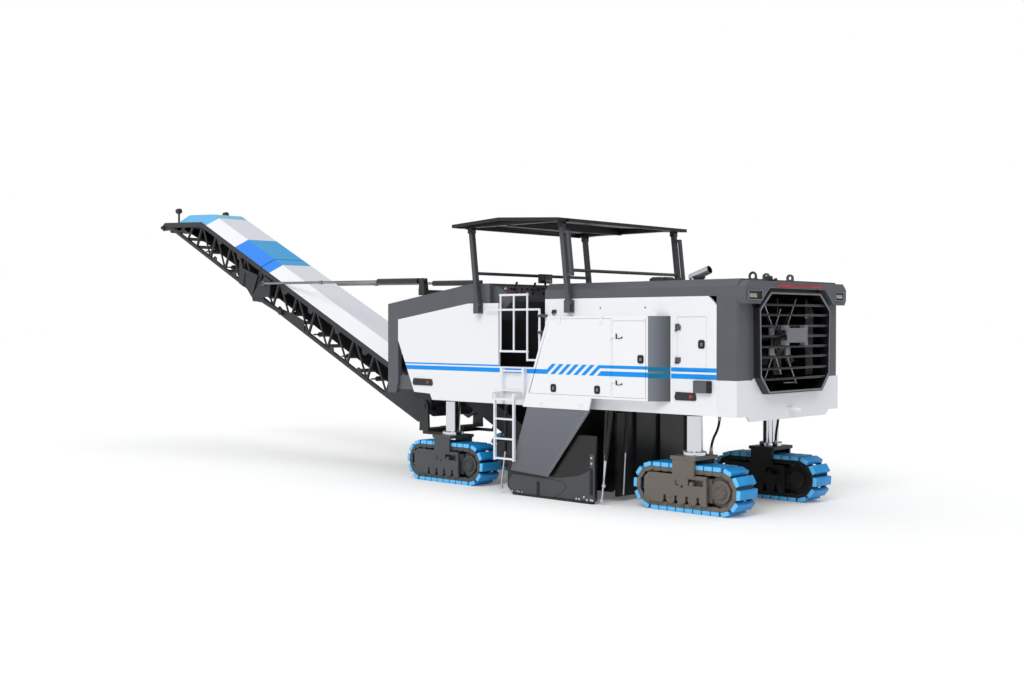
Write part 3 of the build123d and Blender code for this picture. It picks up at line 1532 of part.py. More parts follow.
def conveyor_cover(route):
    """Bent-sheet hood swept along a route of (x, z) points on the top chords."""
    slope = radians(conveyor_slope)
    section = [
        (conveyor_half, 0),
        (cover_top_half, cover_rise),
        (-cover_top_half, cover_rise),
        (-conveyor_half, 0),
        (-conveyor_half + cover_skin * 1.5, 0),
        (-cover_top_half + cover_skin / 2, cover_rise - cover_skin),
        (cover_top_half - cover_skin / 2, cover_rise - cover_skin),
        (conveyor_half - cover_skin * 1.5, 0),
    ]
    x, z = route[0]
    start = Plane(origin=(x, 0, z), x_dir=(0, 1, 0), z_dir=(cos(slope), 0, sin(slope)))
    with BuildSketch(start) as profile:
        with BuildLine():
            Polyline(*section, close=True)
        make_face()
    with BuildLine() as path:
        Polyline(*[(px, 0, pz) for px, pz in route])
    sweep(profile.sketch, path=path.line, transition=Transition.RIGHT)


with BuildPart() as cover_inner:
    conveyor_cover([on_conveyor(cover_start_s, chord_top), on_conveyor(inner_end_s, chord_top)])
save(cover_inner, "cover_inner")

with BuildPart() as cover_outer:
    conveyor_cover(
        [
            on_conveyor(outer_start_s, chord_top),
            on_conveyor(kink_s, chord_top),
            on_tip(tip_cover, 0),
        ]
    )
save(cover_outer, "cover_outer")

# ---------------------------------------------------------------- hoses
# A hose's route, as (share of the way in from its top fitting to its foot, height)
hose_route = [(0.0, hose_top_z), (0.0, 1137.0), (1.0, 925.0), (1.0, hose_foot_z)]
for corner, x, y in corners:
    out_x, out_y = hose_side(x, y)
    points = []
    for share, z in hose_route:
        reach_x = hose_top[0] + (hose_foot[0] - hose_top[0]) * share
        reach_y = hose_top[1] + (hose_foot[1] - hose_top[1]) * share
        points.append(Vector(x + out_x * reach_x, y + out_y * reach_y, z))
    radii = []
    for before, at, after in zip(points, points[1:], points[2:]):
        turn = (at - before).get_angle(after - at)
        shorter = min((at - before).length, (after - at).length)
        radii.append(0.45 * shorter / tan(radians(turn / 2)))
    with BuildPart() as hose:
        with BuildLine() as route:
            FilletPolyline(*points, radius=radii)
        with BuildSketch(Plane(origin=points[0], z_dir=(0, 0, -1))) as profile:
            Circle(hose_radius)
        sweep(profile.sketch, path=route.line)
    run = sum(edge.length for edge in route.edges())
    print("hose", corner, "length", round(run), "radii", [round(r) for r in radii])
    save(hose, f"hose_{corner}")
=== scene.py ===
"""Visual model of a cold planer milling machine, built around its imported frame.

Every sub-assembly is a class that holds its own sizes, makes its pieces and dresses
them. All lengths are metres, in the machine's frame: +X forward, +Y left, +Z up.
"""

from __future__ import annotations

import json
import logging
import math
from contextlib import contextmanager
from dataclasses import dataclass
from enum import Enum
from typing import Callable, Iterable, Iterator, Sequence

import bmesh
import bpy
from mathutils import Euler, Matrix, Vector

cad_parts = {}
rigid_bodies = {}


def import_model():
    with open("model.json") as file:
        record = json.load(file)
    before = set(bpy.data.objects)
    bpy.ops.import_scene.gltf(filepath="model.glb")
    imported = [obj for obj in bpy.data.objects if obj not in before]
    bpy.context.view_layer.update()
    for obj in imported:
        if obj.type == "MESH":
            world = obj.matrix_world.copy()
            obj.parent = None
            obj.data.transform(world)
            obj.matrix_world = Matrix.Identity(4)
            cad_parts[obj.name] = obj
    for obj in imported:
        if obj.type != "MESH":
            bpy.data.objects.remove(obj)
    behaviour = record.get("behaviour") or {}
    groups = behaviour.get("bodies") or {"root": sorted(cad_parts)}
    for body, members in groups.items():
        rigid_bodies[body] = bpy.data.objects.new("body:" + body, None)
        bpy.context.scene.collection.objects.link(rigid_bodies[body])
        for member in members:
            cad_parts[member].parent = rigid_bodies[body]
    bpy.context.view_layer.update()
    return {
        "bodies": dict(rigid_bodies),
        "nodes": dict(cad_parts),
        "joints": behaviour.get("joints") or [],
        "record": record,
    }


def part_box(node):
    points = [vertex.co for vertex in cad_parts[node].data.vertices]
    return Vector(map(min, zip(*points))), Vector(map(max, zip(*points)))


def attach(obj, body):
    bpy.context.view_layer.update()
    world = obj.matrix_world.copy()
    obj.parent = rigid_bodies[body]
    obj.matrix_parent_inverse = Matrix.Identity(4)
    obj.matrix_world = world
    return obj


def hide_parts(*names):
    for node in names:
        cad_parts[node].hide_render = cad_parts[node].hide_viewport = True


LOG = logging.getLogger("planer")
Point = tuple[float, float, float]
Colour = tuple[int, int, int]
FaceTest = Callable[[Vector, Vector], bool]
Pair = tuple[float, float]
Piece = bpy.types.Object
Socket = bpy.types.NodeSocket

REAR_COLUMN_X = -6.450
FRONT_COLUMN_X = -1.810
TRACK_Y = 0.947
BODY_HALF = 1.275
CASE_FACE_Y = 1.460
SLEW_X = -0.790
LUFF_Z = 1.140
CONVEYOR_SLOPE = math.radians(25.3)
TAIL_X = -7.460
SQUARE = 0.9
LEFTWARDS = (0.0, 1.0, 0.0)
UPWARDS = (0.0, 0.0, 1.0)
DOWNWARDS = (0.0, 0.0, -1.0)


class Side(Enum):
    """Left and right of the machine, as the sign of Y."""

    LEFT = 1
    RIGHT = -1

    @property
    def word(self) -> str:
        """The side's name in piece and body names."""
        return self.name.lower()

    def place(self, x: float, y: float, z: float) -> Matrix:
        """Place of a part modelled on the left, mirrored on the right."""
        return Matrix.Translation((x, self.value * y, z)) @ Matrix.Diagonal((1, self.value, 1, 1))


class Slot(str, Enum):
    """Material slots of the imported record."""

    WHITE = "white_paint"
    DARK = "dark_paint"
    GREY = "grey_paint"
    SHOE = "shoe_polyurethane"
    POLISHED = "polished_steel"
    STEEL = "bare_steel"
    RUBBER = "black_rubber"
    VINYL = "seat_vinyl"
    IRON = "machined_iron"


def on_conveyor(s: float, h: float, y: float = 0.0) -> Point:
    """Point at a distance along the conveyor and a height over its centre line.

    Args:
        s: Distance from the luffing pin along the conveyor.
        h: Height square to the conveyor.
        y: Place across the machine.

    Returns:
        The point in the machine's frame.
    """
    run, rise = math.cos(CONVEYOR_SLOPE), math.sin(CONVEYOR_SLOPE)
    return (SLEW_X + s * run - h * rise, y, LUFF_Z + s * rise + h * run)


# ---------------------------------------------------------------- materials
def linear(colour: Colour) -> tuple[float, float, float, float]:
    """Scene-linear RGBA of a display colour given as 0 to 255."""
    parts = [value / 255 for value in colour]
    out = [p / 12.92 if p <= 0.04045 else ((p + 0.055) / 1.055) ** 2.4 for p in parts]
    return (out[0], out[1], out[2], 1.0)


class Graph:
    """One material's nodes, written a line at a time."""

    def __init__(self, name: str) -> None:
        """Makes the material with its shader and its Object coordinates."""
        self.material = bpy.data.materials.new(name)
        self.material.use_nodes = True
        self.tree = self.material.node_tree
        self.shader = self.tree.nodes["Principled BSDF"]
        self.place = self.tree.nodes.new("ShaderNodeTexCoord").outputs["Object"]
        self._axes = self.tree.nodes.new("ShaderNodeSeparateXYZ")
        self.tree.links.new(self.place, self._axes.inputs[0])

    def link(self, source: object, target: Socket) -> None:
        """Feeds a socket from another socket or sets it to a plain value."""
        if isinstance(source, Socket):
            self.tree.links.new(source, target)
        else:
            target.default_value = source

    def axis(self, index: int) -> Socket:
        """X, Y or Z of the surface point."""
        return self._axes.outputs[index]

    def math(self, operation: str, first: object, second: object = 0.0) -> Socket:
        """Result of one Math node."""
        node = self.tree.nodes.new("ShaderNodeMath")
        node.operation = operation
        self.link(first, node.inputs[0])
        self.link(second, node.inputs[1])
        return node.outputs[0]

    def along(self, direction: Point, offset: float = 0.0) -> Socket:
        """Distance of the surface point along a direction, plus an offset."""
        node = self.tree.nodes.new("ShaderNodeVectorMath")
        node.operation = "DOT_PRODUCT"
        self.link(self.place, node.inputs[0])
        node.inputs[1].default_value = direction
        return self.math("ADD", node.outputs["Value"], offset)

    def over(self, value: object, limit: float) -> Socket:
        """1 where a value is greater than a limit."""
        return self.math("GREATER_THAN", value, limit)

    def under(self, value: object, limit: float) -> Socket:
        """1 where a value is less than a limit."""
        return self.math("LESS_THAN", value, limit)

    def reach(self, middle: float = 0.0) -> Socket:
        """Distance of the surface point from the machine's middle, or from a plane on either side."""
        out = self.math("ABSOLUTE", self.axis(1))
        return self.math("ABSOLUTE", self.math("SUBTRACT", out, middle)) if middle else out

    def band(self, value: object, low: float, high: float) -> Socket:
        """1 where a value lies between two limits, otherwise 0."""
        return self.both(self.over(value, low), self.under(value, high))

    def both(self, first: object, second: object) -> Socket:
        """1 where both masks are 1."""
        return self.math("MULTIPLY", first, second)

    def either(self, first: object, second: object) -> Socket:
        """1 where one of the masks is 1."""
        return self.math("MAXIMUM", first, second)

    def noise(self, scale: float, detail: float = 3.0, stretch: Point = (1.0, 1.0, 1.0)) -> Socket:
        """Factor of a noise texture on the surface point.

        Args:
            scale: Waves per metre.
            detail: Number of finer layers.
            stretch: Scale along each axis.

        Returns:
            The noise factor's socket.
        """
        mapping = self.tree.nodes.new("ShaderNodeMapping")
        mapping.inputs["Scale"].default_value = stretch
        self.link(self.place, mapping.inputs["Vector"])
        node = self.tree.nodes.new("ShaderNodeTexNoise")
        node.inputs["Scale"].default_value = scale
        node.inputs["Detail"].default_value = detail
        self.link(mapping.outputs[0], node.inputs["Vector"])
        return node.outputs["Fac"]

    def wave(self, direction: str, scale: float) -> Socket:
        """Bands along one axis."""
        node = self.tree.nodes.new("ShaderNodeTexWave")
        node.bands_direction = direction
        node.inputs["Scale"].default_value = scale
        self.link(self.place, node.inputs["Vector"])
        return node.outputs["Fac"]

    def bump(self, height: Socket, strength: float, distance: float | None = None) -> None:
        """Bends the shader's normal by a height."""
        node = self.tree.nodes.new("ShaderNodeBump")
        node.inputs["Strength"].default_value = strength
        if distance is not None:
            node.inputs["Distance"].default_value = distance
        self.link(height, node.inputs["Height"])
        self.link(node.outputs[0], self.shader.inputs["Normal"])

    def ramp(
        self, value: object, low: float, high: float, start: float = 0.0, end: float = 1.0
    ) -> Socket:
        """Value mapped from low..high to start..end and held there outside."""
        node = self.tree.nodes.new("ShaderNodeMapRange")
        self.link(value, node.inputs["Value"])
        for name, number in (("From Min", low), ("From Max", high), ("To Min", start), ("To Max", end)):
            node.inputs[name].default_value = number
        return node.outputs["Result"]

    def mix(self, factor: object, first: object, second: object) -> Socket:
        """Colour mixed from two by a factor."""
        node = self.tree.nodes.new("ShaderNodeMix")
        node.data_type = "RGBA"
        self.link(factor, node.inputs[0])
        self.link(first, node.inputs[6])
        self.link(second, node.inputs[7])
        return node.outputs[2]

    def blend(self, factor: object, first: object, second: object) -> Socket:
        """Number mixed from two by a factor."""
        node = self.tree.nodes.new("ShaderNodeMix")
        self.link(factor, node.inputs[0])
        self.link(first, node.inputs[2])
        self.link(second, node.inputs[3])
        return node.outputs[0]


@dataclass(frozen=True)
class Layer:
    """A second finish inside a material, where its mask is 1."""

    mask: Socket
    colour: Colour | Socket
    roughness: float
    metallic: float = 0.0


@dataclass(frozen=True)
class Finish:
    """A painted, moulded or metal surface with its own grain and wear."""

    name: str
    colour: Colour
    roughness: float = 0.4
    metallic: float = 0.0
    coat: float = 0.0
    mottle: float = 0.06
    mottle_scale: float = 2.2
    grain: float = 0.03
    grain_scale: float = 260.0
    stretch: Point = (1.0, 1.0, 1.0)
    dust: float = 0.0
    dust_top: float = 0.9
    specular: float = 0.5

    def layers(self, graph: Graph) -> list[Layer]:
        """Patterns over the base colour; plain finishes have none."""
        return []

    def make(self) -> bpy.types.Material:
        """Builds the material, or returns it if it is there already."""
        known = bpy.data.materials.get(self.name)
        if known:
            return known
        graph = Graph(self.name)
        shader = graph.shader
        wander = graph.noise(self.mottle_scale, 5.0, self.stretch)
        shade = tuple(max(0, round(value * (1 - self.mottle))) for value in self.colour)
        light = tuple(min(255, round(value * (1 + self.mottle * 0.5))) for value in self.colour)
        colour = graph.mix(graph.ramp(wander, 0.3, 0.7), linear(shade), linear(light))
        rough: object = graph.ramp(wander, 0.25, 0.75, self.roughness * 0.88, min(1.0, self.roughness * 1.12 + 0.01))
        metal: object = self.metallic
        for layer in self.layers(graph):
            tone = linear(layer.colour) if isinstance(layer.colour, tuple) else layer.colour
            colour = graph.mix(layer.mask, colour, tone)
            rough = graph.blend(layer.mask, rough, layer.roughness)
            if layer.metallic != self.metallic or not isinstance(metal, float):
                metal = graph.blend(layer.mask, metal, layer.metallic)
        if self.dust:
            height = graph.ramp(graph.axis(2), 0.0, self.dust_top, 1.0, 0.0)
            powder = graph.both(height, graph.ramp(graph.noise(7.0, 6.0), 0.35, 0.75))
            colour = graph.mix(graph.both(powder, self.dust), colour, linear((150, 142, 130)))
            rough = graph.blend(graph.both(powder, self.dust), rough, 0.85)
        graph.link(colour, shader.inputs["Base Color"])
        graph.link(rough, shader.inputs["Roughness"])
        graph.link(metal, shader.inputs["Metallic"])
        shader.inputs["Coat Weight"].default_value = self.coat
        shader.inputs["Coat Roughness"].default_value = 0.08
        shader.inputs["Specular IOR Level"].default_value = self.specular
        self.relief(graph)
        return graph.material

    def relief(self, graph: Graph) -> None:
        """Fine bump of the surface."""
        graph.bump(graph.noise(self.grain_scale, 2.0, self.stretch), self.grain, 0.002)


@dataclass(frozen=True)
class StripedPanel(Finish):
    """White side panels with two blue stripes, and dark fittings outside their face."""

    blue: Colour = (0, 148, 240)
    fittings: Colour = (84, 88, 96)
    thick: Pair = (1.780, 1.846)
    thin_rear: Pair = (1.872, 1.929)
    thin_front: Pair = (1.868, 1.892)
    bay_x: float = -3.60

    def layers(self, graph: Graph) -> list[Layer]:
        """Stripes by height, split at the bay, and the fittings by their reach."""
        x, z = graph.axis(0), graph.axis(2)
        reach = graph.reach()
        face = graph.band(reach, BODY_HALF - 0.004, BODY_HALF + 0.0015)
        ahead = graph.over(x, self.bay_x)
        rear = graph.both(graph.band(z, *self.thin_rear), graph.under(x, self.bay_x))
        front = graph.both(graph.band(z, *self.thin_front), ahead)
        stripes = graph.either(graph.band(z, *self.thick), graph.either(rear, front))
        fittings = graph.over(reach, BODY_HALF + 0.0015)
        return [Layer(graph.both(stripes, face), self.blue, 0.3), Layer(fittings, self.fittings, 0.42)]


@dataclass(frozen=True)
class StripedCase(Finish):
    """White drive case: upper and lower stripes that meet in a run of slanted bars, with painted shade on its slanted
    rear end.
    """

    blue: Colour = (0, 148, 240)
    shaded_blue: Colour = (0, 112, 150)
    end_x: float = -6.067
    upper: Pair = (1.893, 1.938)
    lower: Pair = (1.789, 1.857)
    lean: float = 1.17
    bars_front_x: float = -4.36
    bar_pitch: float = 0.142
    bar_width: float = 0.080
    bars: int = 6

    def layers(self, graph: Graph) -> list[Layer]:
        """Stripes and bars, worked out on a coordinate that leans with the bars, and the painted shade of the slanted
        rear end.
        """
        x, z = graph.axis(0), graph.axis(2)
        middle = (self.lower[0] + self.upper[1]) / 2
        slant = graph.math("ADD", x, graph.math("MULTIPLY", graph.math("SUBTRACT", z, middle), self.lean))
        rear_x = self.bars_front_x - self.bars * self.bar_pitch
        full = graph.band(z, self.lower[0], self.upper[1])
        low = graph.band(z, *self.lower)
        behind = graph.both(graph.band(z, *self.upper), graph.under(slant, rear_x + self.bar_width))
        low_rear = graph.both(low, graph.under(slant, rear_x - (self.bar_pitch - self.bar_width)))
        low_front = graph.both(low, graph.over(slant, self.bars_front_x))
        step = graph.math("SUBTRACT", slant, rear_x)
        phase = graph.math("MODULO", step, self.bar_pitch)
        span = graph.band(slant, rear_x, self.bars_front_x + self.bar_width)
        bars = graph.both(graph.both(span, graph.under(phase, self.bar_width)), full)
        stripes = graph.either(graph.either(behind, low_rear), graph.either(low_front, bars))
        reach = graph.reach()
        face = graph.over(reach, BODY_HALF + 0.004)
        # Painted shade: the slanted rear end is painted grey, darker towards the body side, and its stripes a shaded
        # blue.
        end = graph.both(graph.under(x, self.end_x), face)
        tone = graph.mix(graph.ramp(reach, BODY_HALF, CASE_FACE_Y), linear((72, 76, 80)), linear((124, 128, 138)))
        shaded_end_bands = graph.either(graph.band(z, 1.872, 1.929), graph.band(z, 1.780, 1.846))
        return [
            Layer(graph.both(stripes, face), self.blue, 0.3),
            Layer(end, tone, 0.42),
            Layer(graph.both(end, shaded_end_bands), self.shaded_blue, 0.4),
        ]


@dataclass(frozen=True)
class FrameFinish(Finish):
    """Chassis: dark below and inside, white on the wrapped tail bumper."""

    white: Colour = (233, 236, 241)
    bumper_front_x: float = -7.024
    low_z: float = 1.3105
    lip_front_x: float = -7.30
    lip_z: float = 1.2405

    def layers(self, graph: Graph) -> list[Layer]:
        """The bumper's outer faces, by place."""
        x, z = graph.axis(0), graph.axis(2)
        body = graph.both(graph.under(x, self.bumper_front_x), graph.over(z, self.low_z))
        lip = graph.both(graph.under(x, self.lip_front_x), graph.over(z, self.lip_z))
        return [Layer(graph.either(body, lip), self.white, 0.26)]


@dataclass(frozen=True)
class ShieldFinish(Finish):
    """Drum housing: black body, darkened as painted shade; dark grey outer shield, lighter towards its top as painted
    light.
    """

    upper: Colour = (106, 110, 119)
    lower: Colour = (94, 97, 104)
    shield_y: float = 1.40

    def layers(self, graph: Graph) -> list[Layer]:
        """The shield, by its reach outwards, a little lighter towards its top as painted light."""
        # Painted light: the shield's grey runs from a darker tone at the bottom to a lighter one at the top.
        tone = graph.mix(graph.ramp(graph.axis(2), 0.35, 1.25), linear(self.lower), linear(self.upper))
        return [Layer(graph.over(graph.axis(1), self.shield_y), tone, 0.36)]


@dataclass(frozen=True)
class CoverFinish(Finish):
    """Conveyor covers: white with a blue section and a light blue tip."""

    side_blue: Colour = (38, 134, 240)
    top_blue: Colour = (58, 160, 218)
    tip_blue: Colour = (98, 184, 236)
    tip_top: Colour = (122, 190, 214)
    blue_s: Pair = (4.972, 6.233)
    tip_s: float = 7.361
    top_half: float = 0.343

    def layers(self, graph: Graph) -> list[Layer]:
        """Sections by distance along the conveyor, with the flat top in another shade than the sides as painted light.
        """
        run, rise = math.cos(CONVEYOR_SLOPE), math.sin(CONVEYOR_SLOPE)
        s = graph.along((run, 0.0, rise), -(SLEW_X * run + LUFF_Z * rise))
        top = graph.under(graph.reach(), self.top_half)
        blue = graph.band(s, *self.blue_s)
        tip = graph.over(s, self.tip_s)
        return [
            # Painted light: the flat top of each section is painted a different shade from its sides.
            Layer(top, (218, 221, 229), 0.42),
            Layer(blue, self.side_blue, 0.4),
            Layer(graph.both(blue, top), self.top_blue, 0.42),
            Layer(tip, self.tip_blue, 0.4),
            Layer(graph.both(tip, top), self.tip_top, 0.42),
        ]


@dataclass(frozen=True)
class ShoeFinish(Finish):
    """Polyurethane shoes: side ends painted lighter than the running faces, as painted light."""

    end: Colour = (104, 200, 255)
    end_reach: float = 0.2035

    def layers(self, graph: Graph) -> list[Layer]:
        """The side ends, by their distance from the middle of the track, painted lighter as painted light."""
        reach = graph.reach(TRACK_Y)
        return [Layer(graph.over(reach, self.end_reach), self.end, 0.42)]


@dataclass(frozen=True)
class HoseFinish(Finish):
    """Rubber hose in a wound guard, whose turns show as ridges."""

    turns: float = 260.0

    def relief(self, graph: Graph) -> None:
        """Ridges of the guard along the hose."""
        graph.bump(graph.wave("Z", self.turns / 6.0), 0.7, 0.004)


@dataclass(frozen=True)
class LampFinish(Finish):
    """Lens that glows a little, with moulded ribs."""

    glow: float = 0.25
    ribs: float = 120.0
    dim: Colour | None = None
    dim_y: Pair = (-0.35, 0.22)

    def layers(self, graph: Graph) -> list[Layer]:
        """The darker middle of a long lens."""
        if self.dim is None:
            return []
        return [Layer(graph.band(graph.axis(1), *self.dim_y), self.dim, self.roughness)]

    def relief(self, graph: Graph) -> None:
        """Ribs of the lens and its glow."""
        graph.bump(graph.wave("Y", self.ribs / 6.0), 0.3)
        graph.shader.inputs["Emission Color"].default_value = linear(self.colour)
        graph.shader.inputs["Emission Strength"].default_value = self.glow


WHITE = Finish("body_white", (238, 241, 246), 0.30, coat=0.10, mottle=0.004, mottle_scale=9.0, grain=0.012)
PANEL = StripedPanel("panel_white", (240, 241, 244), 0.32, mottle=0.004, mottle_scale=9.0, grain=0.012, specular=0.25)
CASE = StripedCase("case_white", (242, 243, 246), 0.32, mottle=0.004, mottle_scale=9.0, grain=0.012, specular=0.25)
HOOD = Finish("hood_grey", (86, 89, 95), 0.42, mottle=0.03, grain=0.10, grain_scale=420.0)
HOOD_EDGE_AND_HIGHLIGHT = Finish("edge_grey", (120, 124, 131), 0.34, mottle=0.04, grain=0.06)
RIM_AND_HIGHLIGHT = Finish("rim_grey", (168, 171, 178), 0.28, coat=0.2, mottle=0.03, grain=0.03)
PLATE = Finish("plate_grey", (112, 115, 121), 0.34, mottle=0.04, grain=0.05)
GRILLE = Finish("grille_dark", (30, 31, 34), 0.34, mottle=0.10, grain=0.06)
DARK = Finish("fitting_dark", (42, 44, 48), 0.40, mottle=0.10, grain=0.08)
# Near black as painted shade inside the grille, on the duct lining and on the radiator, whose own dark colour is taken
# down to it.
INSIDE_SHADE = Finish("inside_black", (4, 4, 5), 0.85, mottle=0.2, grain=0.05, specular=0.1)
# Black parts, and the black used as painted shade in slots, holes, seams and recesses.
BLACK_AND_SHADE = Finish("pocket_black", (10, 10, 12), 0.50, mottle=0.15, grain=0.08)
CHASSIS = FrameFinish("chassis_black", (16, 17, 18), 0.34, mottle=0.12, grain=0.06, dust=0.05, dust_top=1.4)
# Drum housing: black paint taken down to near black as painted shade under the machine.
SHIELD = ShieldFinish("housing_black", (10, 11, 12), 0.22, mottle=0.12, grain=0.04, dust=0.05)
EDGE = Finish("edge_plate_black", (15, 16, 18), 0.26, mottle=0.10, grain=0.05, dust=0.05, dust_top=0.4)
SKID = Finish("skid_grey", (66, 68, 73), 0.32, mottle=0.05, grain=0.05, dust=0.05, dust_top=0.3)
TRUSS = Finish("truss_grey", (46, 48, 52), 0.46, mottle=0.08, grain=0.10)
CANOPY = Finish("canopy_grey", (22, 23, 27), 0.38, mottle=0.05, grain=0.08)
POST = Finish("post_grey", (74, 77, 81), 0.40, mottle=0.06, grain=0.08)
COVER = CoverFinish("cover_white", (238, 240, 243), 0.36, mottle=0.01, grain=0.03)
BELT = Finish("belt_rubber", (26, 26, 28), 0.72, mottle=0.25, mottle_scale=9.0, grain=0.35, grain_scale=90.0)
CHROME = Finish("column_steel", (222, 225, 230), 0.12, metallic=1.0, mottle=0.03, grain=0.01, stretch=(1, 1, 0.05))
STEEL = Finish("steel_plain", (150, 152, 156), 0.30, metallic=1.0, mottle=0.12, grain=0.10, grain_scale=160.0)
BRIGHT = Finish("bolt_bright", (214, 216, 220), 0.26, metallic=0.6, mottle=0.06, grain=0.04)
CAST = Finish("cast_iron", (92, 92, 94), 0.58, metallic=0.7, mottle=0.2, grain=0.5, grain_scale=120.0)
CARBIDE = Finish("pick_steel", (116, 112, 106), 0.42, metallic=1.0, mottle=0.25, mottle_scale=30.0, grain=0.3)
DRUM = Finish("drum_steel", (84, 82, 80), 0.48, metallic=0.8, mottle=0.25, mottle_scale=8.0, grain=0.3)
# Painted light and shade: lit and shaded copies of one track metal, warm grey where lit, dark grey and near black where
# in shade.
TRACK_LIT_WARM = Finish("track_warm_grey", (106, 100, 93), 0.46, mottle=0.05, grain=0.12, dust=0.06, dust_top=0.7)
TRACK_SHADED_GREY = Finish("track_dark_grey", (72, 74, 78), 0.44, mottle=0.06, grain=0.12, dust=0.06, dust_top=0.7)
TRACK_DEEP_SHADE = Finish("track_black", (22, 23, 25), 0.40, mottle=0.10, grain=0.10, dust=0.06, dust_top=0.7)
SHOE = ShoeFinish("shoe_blue", (30, 152, 222), 0.44, mottle=0.06, mottle_scale=6.0, grain=0.12, dust=0.05, dust_top=0.4)
HOSE = HoseFinish("hose_guard", (24, 24, 26), 0.62, mottle=0.2)
GLASS_RED = LampFinish("lens_red", (176, 10, 40), 0.18, coat=0.6, glow=0.12, mottle=0.1, dim=(142, 20, 44))
GLASS_CLEAR = LampFinish("lens_clear", (150, 147, 130), 0.15, coat=0.6, glow=0.06, mottle=0.1)
SCREEN = Finish("screen_glass", (30, 33, 38), 0.12, coat=0.8, mottle=0.2, grain=0.0)
KNOB_RED = Finish("knob_red", (188, 28, 30), 0.32, mottle=0.08)
KNOB_WHITE = Finish("knob_white", (226, 226, 222), 0.35, mottle=0.04)
VINYL = Finish("seat_vinyl_black", (36, 36, 39), 0.52, mottle=0.14, mottle_scale=24.0, grain=0.45, grain_scale=300.0)


